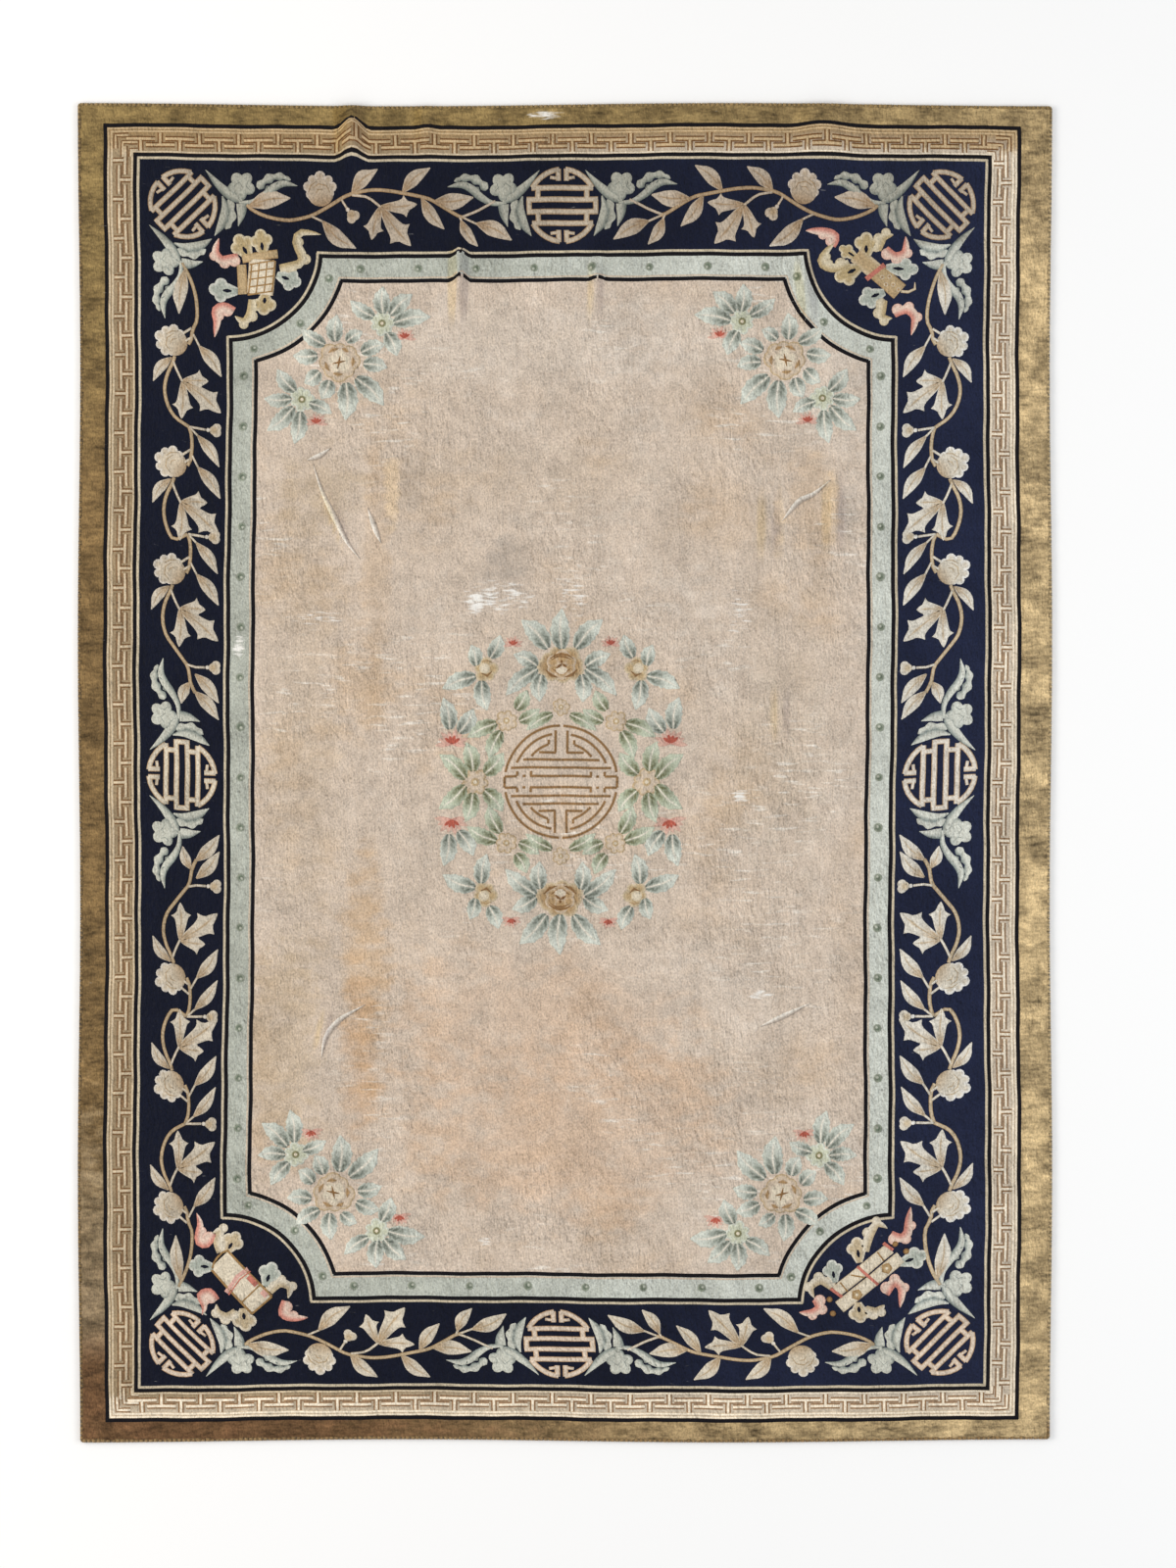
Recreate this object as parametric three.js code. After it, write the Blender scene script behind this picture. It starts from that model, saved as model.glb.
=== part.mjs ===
// A hand-knotted silk rug, lying on a floor with a few low ripples left in it.
// One closed slab of constant thickness: the underside lifts off the floor wherever a ripple lifts the pile.
// Millimetres, +Z up, +Y along the rug. The origin is on the floor under the middle of the rug.

import * as THREE from "three";
import { mergeVertices } from "three/addons/utils/BufferGeometryUtils.js";

// Driving dimensions.
const RUG_WIDTH = 2438;
const RUG_LENGTH = 3353;
const RUG_THICKNESS = 10;

// The rim: the pile rolls over at the top edge, and the overcast cord under it is set back a little.
const PILE_ROLL = 5;
const CORD_SET_BACK = 2;
const WAIST_HEIGHT = 5;

// The plain gold border round the pattern takes up the drift of the rows, so the outline stays as it was knotted.
const PLAIN_BORDER = 70;

// A hand-knotted edge is never quite straight: how far the sides and ends bow, and in how many waves.
const SIDE_BOW = 3;
const SIDE_WAVES = 2.5;
const END_BOW = 4;
const END_WAVES = 1.5;

// The ripples, one row each. The crest is centred at x, y and runs up and down the rug.
// run: half the crest's length. half: half its width. rise: its height.
// slant: degrees that the crest turns off the rug's length. drift: how far the knotted rows are drawn up the rug there.
const RIPPLES = [
  { place: "top edge, left", x: -533, y: 1640, run: 190, half: 46, rise: 14, slant: 0, drift: 20 },
  { place: "top edge, second", x: -344, y: 1640, run: 120, half: 36, rise: 6, slant: 0, drift: 6 },
  { place: "top band, left", x: -263, y: 1250, run: 165, half: 28, rise: 11, slant: 0, drift: 17 },
  { place: "top band, middle", x: 82, y: 1215, run: 115, half: 26, rise: 6, slant: 0, drift: 8 },
  { place: "top edge, right", x: 650, y: 1640, run: 140, half: 90, rise: 8, slant: 0, drift: 10 },
  { place: "top band, right", x: 612, y: 1215, run: 135, half: 30, rise: 9, slant: 8, drift: 4 },
  { place: "field, right", x: 520, y: 632, run: 140, half: 36, rise: 8, slant: 0, drift: 0 },
  { place: "field, far right", x: 682, y: 657, run: 150, half: 36, rise: 9, slant: 0, drift: 0 },
  { place: "field, middle right", x: 552, y: 157, run: 130, half: 30, rise: 6, slant: 0, drift: 0 },
  { place: "field, left crease", x: -567, y: 652, run: 140, half: 22, rise: 5, slant: 22, drift: 0 },
  { place: "field, low left crease", x: -589, y: -635, run: 90, half: 22, rise: 5, slant: -12, drift: 0 },
];

// Grid lines: the open spacing over flat cloth, the steps across and along a ripple, and the least spacing kept.
const OPEN_STEP_X = 260;
const OPEN_STEP_Y = 330;
const STEPS_ACROSS_RIPPLE = 6;
const STEPS_ALONG_RIPPLE = 6;
const LEAST_STEP_X = 9;
const LEAST_STEP_Y = 34;

const radians = THREE.MathUtils.degToRad;

// A smooth hump: 1 in the middle and 0 from the ends outwards.
function hump(share) {
  return Math.abs(share) < 1 ? 0.5 * (1 + Math.cos(Math.PI * share)) : 0;
}

// How fully a ripple lifts the point x, y, from 0 to 1.
function rippleShare(ripple, x, y) {
  const along = y - ripple.y;
  const across = x - ripple.x + along * Math.tan(radians(ripple.slant));
  return hump(across / ripple.half) * hump(along / ripple.run);
}

// Where a point of the flat rug comes to lie: the bowed edges, the drift of the rows and the ripples' rise.
function lay(x, y, height) {
  const acrossShare = (2 * x) / RUG_WIDTH;
  const alongShare = (2 * y) / RUG_LENGTH;
  const placed = new THREE.Vector3(
    x + acrossShare * SIDE_BOW * Math.sin(Math.PI * SIDE_WAVES * alongShare),
    y + alongShare * END_BOW * Math.sin(Math.PI * END_WAVES * acrossShare),
    height,
  );
  const slack = THREE.MathUtils.clamp((RUG_LENGTH / 2 - Math.abs(y)) / PLAIN_BORDER, 0, 1);
  for (const ripple of RIPPLES) {
    const share = rippleShare(ripple, x, y);
    placed.y += ripple.drift * share * slack;
    placed.z += ripple.rise * share;
  }
  return placed;
}

// The places of the grid lines on one axis: even steps over flat cloth, and closer ones over each ripple.
function gridLines(length, openStep, spans, stepsPerSpan, leastStep) {
  const end = length / 2;
  const openSteps = Math.round(length / openStep);
  const fine = [];
  for (const span of spans) {
    for (let step = 0; step <= stepsPerSpan; step += 1) {
      fine.push(span.middle + span.reach * ((2 * step) / stepsPerSpan - 1));
    }
  }
  const open = [];
  for (let step = 0; step <= openSteps; step += 1) {
    open.push(-end + (length * step) / openSteps);
  }
  const kept = [-end, end];
  for (const place of [...fine, ...open]) {
    const inside = Math.abs(place) < end;
    if (inside && kept.every((other) => Math.abs(other - place) >= leastStep)) kept.push(place);
  }
  return kept.sort((a, b) => a - b);
}

function rugGeometry() {
  const spansAcross = RIPPLES.map((r) => ({
    middle: r.x,
    reach: r.half + 0.5 * r.run * Math.tan(radians(Math.abs(r.slant))),
  }));
  const spansAlong = RIPPLES.map((r) => ({ middle: r.y, reach: r.run }));
  const linesX = gridLines(RUG_WIDTH, OPEN_STEP_X, spansAcross, STEPS_ACROSS_RIPPLE, LEAST_STEP_X);
  const linesY = gridLines(RUG_LENGTH, OPEN_STEP_Y, spansAlong, STEPS_ALONG_RIPPLE, LEAST_STEP_Y);

  // From the floor up: how high each level of the rim is, and how far it is set in from the outline.
  const levels = [
    { height: 0, inset: CORD_SET_BACK },
    { height: WAIST_HEIGHT, inset: 0 },
    { height: RUG_THICKNESS, inset: PILE_ROLL },
  ];

  const columns = linesX.length - 1;
  const rows = linesY.length - 1;
  const slab = new THREE.BoxGeometry(1, 1, 1, columns, rows, levels.length - 1);
  slab.deleteAttribute("normal");
  slab.deleteAttribute("uv");
  const corner = slab.getAttribute("position");
  for (let i = 0; i < corner.count; i += 1) {
    const column = Math.round((corner.getX(i) + 0.5) * columns);
    const row = Math.round((corner.getY(i) + 0.5) * rows);
    const level = levels[Math.round((corner.getZ(i) + 0.5) * (levels.length - 1))];
    const limitX = RUG_WIDTH / 2 - level.inset;
    const limitY = RUG_LENGTH / 2 - level.inset;
    const x = THREE.MathUtils.clamp(linesX[column], -limitX, limitX);
    const y = THREE.MathUtils.clamp(linesY[row], -limitY, limitY);
    const placed = lay(x, y, level.height);
    corner.setXYZ(i, placed.x, placed.y, placed.z);
  }
  const closed = mergeVertices(slab);
  closed.computeVertexNormals();
  return closed;
}

// Worn peach silk: soft, with a low sheen.
const peachSilk = new THREE.MeshStandardMaterial({ color: 0xc8b6a3, roughness: 0.8, metalness: 0 });

const silkRug = new THREE.Mesh(rugGeometry(), peachSilk);
silkRug.name = "silk_rug";

const rug = new THREE.Group();
rug.add(silkRug);

export default rug;
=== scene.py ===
# %% [markdown]
# # A silk rug with a notched frame
# This lesson rebuilds a hand-knotted silk rug that lies on a floor. The rug is one thin sheet with a few
# low ripples. Its pattern is made of small raised shapes, because a weaver clips the pile so that each
# motif stands a little proud of the ground. We work in flat rug millimetres and lay every shape on the
# ripples at the end.

import math

import bpy
import numpy as np
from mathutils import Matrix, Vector


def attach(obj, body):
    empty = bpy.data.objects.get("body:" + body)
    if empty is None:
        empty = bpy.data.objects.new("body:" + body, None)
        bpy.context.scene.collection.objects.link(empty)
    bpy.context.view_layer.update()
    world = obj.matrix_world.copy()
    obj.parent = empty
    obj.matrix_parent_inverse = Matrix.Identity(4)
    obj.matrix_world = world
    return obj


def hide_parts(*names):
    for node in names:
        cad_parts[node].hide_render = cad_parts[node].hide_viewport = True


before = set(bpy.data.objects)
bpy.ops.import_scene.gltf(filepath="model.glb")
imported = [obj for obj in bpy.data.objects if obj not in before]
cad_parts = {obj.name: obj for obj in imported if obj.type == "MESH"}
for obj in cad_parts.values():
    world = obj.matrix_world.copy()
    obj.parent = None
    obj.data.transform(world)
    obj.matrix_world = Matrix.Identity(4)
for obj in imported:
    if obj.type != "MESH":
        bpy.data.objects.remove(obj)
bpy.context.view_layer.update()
MM = 0.001

# %% [markdown]
# ## The camera
# The photograph looks straight down, so the camera hangs high over the rug with a long lens. The height
# follows from the lens, the sensor and the width of floor that one pixel covers. The rug lies a little to
# the left of the picture's middle, so the camera stands a little to the right of the rug's middle.

# %% Camera
RUG_WIDTH = 2438
RUG_LENGTH = 3353
RUG_THICKNESS = 10
PICTURE_WIDTH = 1200
PICTURE_HEIGHT = 1600
FLOOR_MM_PER_PIXEL = 2.46
RUG_MIDDLE_PIXEL_X = 576.5
RUG_MIDDLE_PIXEL_Y = 788.5
LENS = 85
SENSOR = 36

camera_lens = bpy.data.cameras.new("view_from_above")
camera_lens.lens = LENS
camera_lens.sensor_width = SENSOR
camera = bpy.data.objects.new("view_from_above", camera_lens)
camera.location = (
    (PICTURE_WIDTH / 2 - RUG_MIDDLE_PIXEL_X) * FLOOR_MM_PER_PIXEL * MM,
    (RUG_MIDDLE_PIXEL_Y - PICTURE_HEIGHT / 2) * FLOOR_MM_PER_PIXEL * MM,
    (PICTURE_HEIGHT * FLOOR_MM_PER_PIXEL * LENS / SENSOR + RUG_THICKNESS) * MM,
)
bpy.context.scene.collection.objects.link(camera)
bpy.context.scene.camera = camera
print("camera height, metres:", round(camera.location.z, 2))

# %% [markdown]
# ## How the rug lies
# The ripples are smooth humps that run up and down the rug, and near some of them the knotted rows are
# drawn a few millimetres along. `lay` takes flat rug millimetres and a height, and gives the place in the
# room in metres. The sheet and every motif go through it, so they always stay together.

# %% Ripples
SIDE_BOW, SIDE_WAVES = 3, 2.5
END_BOW, END_WAVES = 4, 1.5
PLAIN_BORDER = 70
RIPPLES = [
    # x, y of the crest's middle, half its length, half its width, rise, slant in degrees, drift of the rows
    (-533, 1640, 190, 46, 14, 0, 36),
    (-344, 1640, 120, 36, 6, 0, 6),
    (-263, 1250, 165, 28, 11, 0, 17),
    (82, 1215, 115, 26, 6, 0, 8),
    (650, 1640, 140, 90, 8, 0, 10),
    (612, 1215, 135, 30, 9, 8, 4),
    (520, 632, 140, 36, 8, 0, 0),
    (682, 657, 150, 36, 9, 0, 0),
    (552, 157, 130, 30, 6, 0, 0),
    (-567, 652, 140, 22, 5, 22, 0),
    (-589, -635, 90, 22, 5, -12, 0),
]


def hump(share):
    """A smooth hump: 1 in the middle and 0 from the ends outwards."""
    return np.where(np.abs(share) < 1, 0.5 * (1 + np.cos(np.pi * share)), 0.0)


def lay(x, y, height):
    """Flat rug millimetres and a height to metres on the rippled floor."""
    across_share = 2 * x / RUG_WIDTH
    along_share = 2 * y / RUG_LENGTH
    slack = np.clip((RUG_LENGTH / 2 - np.abs(y)) / PLAIN_BORDER, 0, 1)
    placed_x = x + across_share * SIDE_BOW * np.sin(np.pi * SIDE_WAVES * along_share)
    placed_y = y + along_share * END_BOW * np.sin(np.pi * END_WAVES * across_share)
    placed_z = np.array(height, dtype=float)
    for crest_x, crest_y, run, half, rise, slant, drift in RIPPLES:
        along = y - crest_y
        across = x - crest_x + along * math.tan(math.radians(slant))
        share = hump(across / half) * hump(along / run)
        placed_y = placed_y + drift * share * slack
        placed_z = placed_z + rise * share
    return np.stack([placed_x, placed_y, placed_z], axis=-1) * MM


print("ripples:", len(RIPPLES), "tallest", max(row[4] for row in RIPPLES), "mm")

# %% [markdown]
# ## The drawing of the rug
# A weaver works from a paper plan: bands of fixed width, one inside the other, round an open field. The
# inner frame has a quarter circle bitten out of each corner. All other sizes come from these few widths.

# %% Bands
SIDE_BORDER = 70
END_BORDER = 50
GUARD = 8.5
FRET_BAND = 65
NAVY_BAND = 213.5
CELADON_BAND = 52.5
NOTCH_X, NOTCH_Y = 224, 213

PATTERN_X = RUG_WIDTH / 2 - SIDE_BORDER
PATTERN_Y = RUG_LENGTH / 2 - END_BORDER
FRET_X, FRET_Y = PATTERN_X - GUARD, PATTERN_Y - GUARD
INNER_GUARD_X, INNER_GUARD_Y = FRET_X - FRET_BAND, FRET_Y - FRET_BAND
NAVY_X, NAVY_Y = INNER_GUARD_X - 2 * GUARD, INNER_GUARD_Y - 2 * GUARD
FRAME_X, FRAME_Y = NAVY_X - NAVY_BAND, NAVY_Y - NAVY_BAND
VINE_X, VINE_Y = (NAVY_X + FRAME_X) / 2, (NAVY_Y + FRAME_Y) / 2
CELADON_DEPTH = 2 * GUARD
FIELD_DEPTH = CELADON_DEPTH + CELADON_BAND
print("field, mm:", 2 * (FRAME_X - FIELD_DEPTH - GUARD), "by", 2 * (FRAME_Y - FIELD_DEPTH - GUARD))

# %% [markdown]
# ## The dyes
# Each dye is written as the colour it shows in daylight. Blender shades in linear light, so `silk` turns
# the usual hex colour into linear numbers. About twenty faded dyes do for most of the pattern.

# %% Dyes
def silk(code):
    """A hex colour as linear red, green and blue."""
    channels = np.array([int(code[i : i + 2], 16) for i in (1, 3, 5)]) / 255
    return np.where(channels <= 0.04045, channels / 12.92, ((channels + 0.055) / 1.055) ** 2.4)


BLACK = silk("#110f14")
NAVY = silk("#0f1323")
CREAM = silk("#c9ba9f")
PALE_CREAM = silk("#d6cab4")
STRAW = silk("#b59d78")
HONEY = silk("#9c7b50")
BROWN = silk("#7d5b39")
CLOUD = silk("#c3c4b6")
CLOUD_RIM = silk("#6f7a75")
GREY_LEAF = silk("#b4b9ae")
SLATE = silk("#555c51")
GREEN_LEAF = silk("#a4ab90")
OLIVE = silk("#585734")
SAGE = silk("#cbcec3")
FERN = silk("#bdc3af")
PEACH = silk("#c9b8a4")
PINK = silk("#d4a699")
CORAL = silk("#bf7566")
RED = silk("#ab5646")
MOSS = silk("#77734f")
LINE_GREY = silk("#a39d8d")


def mix(first, second, share):
    """Dye that changes from one to the other, with an array of shares."""
    share = np.asarray(share)[..., None]
    return first + (second - first) * share


def ease(share):
    """A smooth step from 0 to 1."""
    share = np.clip(share, 0, 1)
    return share * share * (3 - 2 * share)


print("dyes ready, navy in linear light:", NAVY.round(3))

# %% [markdown]
# ## Raised pile
# Every motif is drawn with two shapes. A stroke follows a smooth line and has a width that changes along
# it, which gives stems, leaves, bars and ribbons. A blossom is a round patch with a lobed edge. Both are
# low closed cushions, about a millimetre proud, whose rim is sunk in the ground. Painted textures would
# be quicker, but real relief catches the light at every clipped edge.

# %% Pile shapes
LIFT = 1.3
SUNK = -0.5
# How a stroke is domed: place across it from -1 to 1, and share of its height there.
STROKE = np.array([(-1, SUNK), (-0.8, 0.75), (-0.42, 1), (0, 0.86), (0.42, 1), (0.8, 0.75), (1, SUNK)])
LEAF_DOME = np.array([
    (-1, SUNK), (-0.86, 0.7), (-0.6, 1), (-0.36, 1), (-0.16, 0.9), (0, 0.75),
    (0.16, 0.9), (0.36, 1), (0.6, 1), (0.86, 0.7), (1, SUNK),
])
# The rings of a blossom as shares of its radius, and the share of its height at each.
BLOSSOM_RINGS = np.array([0.38, 0.72, 0.92, 1.0])
BLOSSOM_CROWN = np.array([1.05, 1.0, 0.8, SUNK])
# The blunt end of a stroke is this long, but no more than this share of the stroke.
BAR_END = 1.2
LONGEST_END = 0.2
# The spacing of a stroke's rows, the fewest rows and the least half width.
ROW_STEP = 14
FEWEST_ROWS = 3
LEAST_HALF = 0.3


def through(points, steps=8):
    """A smooth line through all the points."""
    points = np.asarray(points, dtype=float)
    if len(points) < 3:
        return points
    padded = np.vstack([2 * points[0] - points[1], points, 2 * points[-1] - points[-2]])
    t = np.linspace(0, 1, steps, endpoint=False)[:, None]
    pieces = []
    for a, b, c, d in zip(padded, padded[1:], padded[2:], padded[3:]):
        curve = 2 * b + (c - a) * t + (2 * a - 5 * b + 4 * c - d) * t**2 + (3 * b - a - 3 * c + d) * t**3
        pieces.append(0.5 * curve)
    return np.vstack([*pieces, points[-1:]])


class Put:
    """Where a motif's own millimetres go: an origin and the directions of its two axes on the flat rug."""

    def __init__(self, at=(0, 0), along=(1, 0), across=(0, 1)):
        self.at = np.asarray(at, dtype=float)
        self.along = np.asarray(along, dtype=float)
        self.across = np.asarray(across, dtype=float)

    def __call__(self, points):
        points = np.asarray(points, dtype=float)
        return self.at + points[..., :1] * self.along + points[..., 1:2] * self.across

    def child(self, at=(0, 0), turn=0):
        """The same axes, moved to a place and turned by degrees."""
        c = math.cos(math.radians(turn))
        s = math.sin(math.radians(turn))
        return Put(self(np.array(at)), c * self.along + s * self.across, c * self.across - s * self.along)

    def mirrored(self):
        return self.along[0] * self.across[1] - self.along[1] * self.across[0] < 0


class Pile:
    """Collects raised shapes in flat rug millimetres, with a dye at every point."""

    def __init__(self):
        self.flat = []
        self.height = []
        self.dye = []
        self.faces = []
        self.count = 0

    def add(self, flat, height, dye, faces, mirrored):
        faces = [tuple(self.count + i for i in face) for face in faces]
        self.faces += [face[::-1] for face in faces] if mirrored else faces
        self.flat.append(flat.reshape(-1, 2))
        self.height.append(height.reshape(-1))
        self.dye.append(dye.reshape(-1, 3))
        self.count += flat.size // 2

    def stroke(self, put, line, half, dye, lift=LIFT, rows=None, profile=STROKE):
        """A raised line. half is a half width or a table of them; dye takes shares along and across."""
        line = through(line)
        steps = np.r_[0, np.cumsum(np.hypot(*np.diff(line, axis=0).T))]
        length = steps[-1]
        rows = rows or max(FEWEST_ROWS, round(length / ROW_STEP))
        end = min(LONGEST_END, BAR_END / length)
        share = np.r_[0, np.linspace(end, 1 - end, rows), 1]
        middle = np.stack([np.interp(share * length, steps, line[:, i]) for i in (0, 1)], axis=1)
        ahead = np.gradient(middle, share, axis=0)
        ahead /= np.hypot(*ahead.T)[:, None]
        side = np.stack([-ahead[:, 1], ahead[:, 0]], axis=1)
        table = through(half) if np.ndim(half) else np.array([[0, half], [1, half]])
        width = np.maximum(np.interp(share, table[:, 0], table[:, 1]), LEAST_HALF)
        across, crown = profile.T
        flat = middle[:, None] + side[:, None] * (width[:, None] * across)[..., None]
        height = np.repeat(lift * crown[None], len(share), axis=0)
        height[[0, -1]] = lift * SUNK
        n, m = len(share), len(across)
        top = [
            (i * m + j, i * m + m + j, i * m + m + j + 1, i * m + j + 1)
            for i in range(n - 1)
            for j in range(m - 1)
        ]
        low = [(i * m, i * m + m - 1, i * m + 2 * m - 1, i * m + m) for i in range(1, n - 2)]
        first = (*range(m), 2 * m - 1, m)
        last = ((n - 2) * m, (n - 1) * m - 1, *range(n * m - 1, (n - 1) * m - 1, -1))
        colours = np.broadcast_to(dye(share[:, None], across[None]), (n, m, 3))
        self.add(put(flat), height, colours, [*top, *low, first, last], put.mirrored())

    def blossom(self, put, radius, dye, lobes=0, depth=0.0, stretch=1.0, lift=LIFT, spokes=16):
        """A raised round patch. lobes and depth scallop its edge; dye takes shares outwards and angles."""
        angle = np.linspace(0, 2 * np.pi, spokes, endpoint=False)
        edge = radius * (1 - depth + depth * np.abs(np.cos(lobes * angle / 2)))
        ring = BLOSSOM_RINGS
        reach = ring[:, None] * edge
        flat = np.stack([reach * np.cos(angle) * stretch, reach * np.sin(angle)], axis=-1)
        height = np.repeat(lift * BLOSSOM_CROWN[:, None], spokes, axis=1)
        colours = np.broadcast_to(dye(ring[:, None], angle[None]), (len(ring), spokes, 3))
        core = np.broadcast_to(dye(np.zeros((1, 1)), angle[:1]), (1, 1, 3))
        flat = np.vstack([[[0.0, 0.0]], flat.reshape(-1, 2)])
        height = np.r_[lift * BLOSSOM_CROWN[0], height.ravel()]
        colours = np.vstack([core.reshape(1, 3), colours.reshape(-1, 3)])
        ahead = np.roll(np.arange(spokes), -1)
        faces = [(0, 1 + i, 1 + ahead[i]) for i in range(spokes)]
        for k in range(len(ring) - 1):
            inner = 1 + k * spokes
            outer = inner + spokes
            faces += [(inner + i, outer + i, outer + ahead[i], inner + ahead[i]) for i in range(spokes)]
        faces.append(tuple(1 + (len(ring) - 1) * spokes + i for i in range(spokes))[::-1])
        self.add(put(flat), height, colours, faces, put.mirrored())


print("a stroke is", len(STROKE), "points wide, a blossom has", len(BLOSSOM_RINGS), "rings")

# %% [markdown]
# ## From drawing to mesh
# A hand-knotted line is never quite true, so each flat point first wanders by about a millimetre in slow
# waves. The mesh also remembers its flat place in an attribute called `cloth`, so that materials can
# follow the cloth over the ripples, and its dye in a colour attribute called `dye`.

# %% Laying a motif
# How far the pattern sits left of the rug's middle, and the field left of and below the pattern's middle.
# The field also leans to the right, by 6 mm on the 1045 mm from its middle to its top.
PATTERN_LEFT = 7
FIELD_LEFT = 6
FIELD_LOW = 11
FIELD_LEAN = 6 / 1045
# How far a line strays in slow and in quick waves.
SLOW_STRAY = 0.9
QUICK_STRAY = 0.4


def wander(x, y):
    """Where the loom let a flat point drift, in millimetres."""
    # The waves have odd lengths, so that the drift doesn't repeat.
    inner = (1 - ease((np.abs(x) - FRAME_X) / NAVY_BAND)) * (1 - ease((np.abs(y) - FRAME_Y) / NAVY_BAND))
    drift_x = SLOW_STRAY * np.sin(y / 47 + 0.8 * np.sin(x / 83))
    drift_x = drift_x + QUICK_STRAY * np.sin(y / 19.3 + x / 37 + 1.3)
    drift_y = SLOW_STRAY * np.sin(x / 53 + 0.8 * np.sin(y / 71) + 2.1)
    drift_y = drift_y + QUICK_STRAY * np.sin(x / 17.9 - y / 41)
    return drift_x - PATTERN_LEFT + (FIELD_LEAN * y - FIELD_LEFT) * inner, drift_y - FIELD_LOW * inner


def remember(mesh, flat):
    """Store the flat place of each point in metres and the slope of the ripple under it."""
    cloth = mesh.attributes.new("cloth", "FLOAT_VECTOR", "POINT")
    cloth.data.foreach_set("vector", np.c_[flat * MM, np.zeros(len(flat))].astype(np.float32).ravel())
    before, after = (lay(flat[:, 0] + step, flat[:, 1], 0)[:, 2] / MM for step in (-1, 1))
    slope = ((after - before) / 2).astype(np.float32)
    mesh.attributes.new("lean", "FLOAT", "POINT").data.foreach_set("value", slope)


def store_dye(mesh, dye):
    colour = mesh.color_attributes.new("dye", "FLOAT_COLOR", "POINT")
    colour.data.foreach_set("color", np.c_[dye, np.ones(len(dye))].astype(np.float32).ravel())


def smooth(mesh):
    mesh.polygons.foreach_set("use_smooth", np.ones(len(mesh.polygons), dtype=bool))


def placed_object(name, mesh):
    piece = bpy.data.objects.new(name, mesh)
    bpy.context.scene.collection.objects.link(piece)
    return piece


def woven(name, pile, level=RUG_THICKNESS, drift=1):
    """One object from a pile's shapes, laid on the ripples."""
    flat = np.vstack(pile.flat)
    height = np.concatenate(pile.height)
    drift_x, drift_y = wander(flat[:, 0], flat[:, 1])
    placed = lay(flat[:, 0] + drift * drift_x, flat[:, 1] + drift * drift_y, level + height)
    mesh = bpy.data.meshes.new(name)
    mesh.from_pydata(placed.tolist(), [], pile.faces)
    remember(mesh, flat)
    store_dye(mesh, np.vstack(pile.dye))
    smooth(mesh)
    print(name, "points:", len(flat), "faces:", len(pile.faces))
    return placed_object(name, mesh)


print("the field sits", FIELD_LEFT, "mm left and", FIELD_LOW, "mm low")

# %% [markdown]
# ## The ground sheet
# The cloth itself is a closed sheet: a fine grid on top, the same grid underneath and a rolled rim
# between them. A plane with Solidify would do too, but with its own rows of points the rim can lean in at
# the top, where the pile rolls over, and at the bottom, where the overcast cord is set back.

# %% Ground sheet
COLUMNS = 236
ROWS = 164
# The rim from the pile down: height, and how far it is set in from the outline.
RIM = [(10, 5), (8.8, 2.0), (6.5, 0.4), (4.5, 0), (0, 2)]


def sheet_ring():
    """The grid numbers of the outline, once round."""
    bottom = [(i, 0) for i in range(COLUMNS)]
    right = [(COLUMNS, j) for j in range(ROWS)]
    top = [(i, ROWS) for i in range(COLUMNS, 0, -1)]
    left = [(0, j) for j in range(ROWS, 0, -1)]
    return bottom + right + top + left


def grid_line(length, steps, inset):
    """Even places along one side of the sheet, pulled in at both ends."""
    limit = length / 2 - inset
    return np.clip(np.linspace(-1, 1, steps + 1) * length / 2, -limit, limit)


def sheet_level(height, inset):
    """The flat grid of one level, pulled in at the outline."""
    x = grid_line(RUG_WIDTH, COLUMNS, inset)
    y = grid_line(RUG_LENGTH, ROWS, inset)
    grid = np.stack(np.meshgrid(x, y), axis=-1).reshape(-1, 2)
    return grid, np.full(len(grid), height, dtype=float)


def band_between(upper, lower):
    """The faces between two rings of points."""
    return [(upper[k - 1], lower[k - 1], lower[k], upper[k]) for k in range(len(upper))]


def ground_sheet():
    across = COLUMNS + 1
    faces = []
    top_flat, top_height = sheet_level(*RIM[0])
    low_flat, low_height = sheet_level(*RIM[-1])
    size = len(top_flat)
    for j in range(ROWS):
        for i in range(COLUMNS):
            a = j * across + i
            faces.append((a, a + 1, a + across + 1, a + across))
            faces.append((size + a, size + a + across, size + a + across + 1, size + a + 1))
    ring = [j * across + i for i, j in sheet_ring()]
    flat = [top_flat, low_flat]
    height = [top_height, low_height]
    upper = ring
    count = 2 * size
    for level_height, inset in RIM[1:-1]:
        grid, level = sheet_level(level_height, inset)
        flat.append(grid[ring])
        height.append(level[ring])
        lower = list(range(count, count + len(ring)))
        count += len(ring)
        faces += band_between(upper, lower)
        upper = lower
    faces += band_between(upper, [size + k for k in ring])
    flat = np.vstack(flat)
    height = np.concatenate(height)
    mesh = bpy.data.meshes.new("rug_ground")
    mesh.from_pydata(lay(flat[:, 0], flat[:, 1], height).tolist(), [], faces)
    drift_x, drift_y = wander(flat[:, 0], flat[:, 1])
    remember(mesh, flat - np.stack([drift_x, drift_y], axis=1))
    smooth(mesh)
    print("rug_ground faces:", len(faces))
    return placed_object("rug_ground", mesh)


rug_ground = ground_sheet()

# %% [markdown]
# ## Guard lines
# Thin dark and cream lines part the bands. Each runs once round, in strokes that overlap a little at the
# corners. The inner ones follow the notched frame: straight runs along its sides, and a curve round each
# bitten corner.

# %% Guard lines
QUARTERS = [(-1, 1), (1, 1), (1, -1), (-1, -1)]
LINE_STEP = 13
HERE = Put()
# How far a line goes on past a corner, as a share of its half width: round a box and along the notched frame.
BOX_OVERRUN = 0.8
FRAME_OVERRUN = 0.6


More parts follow.
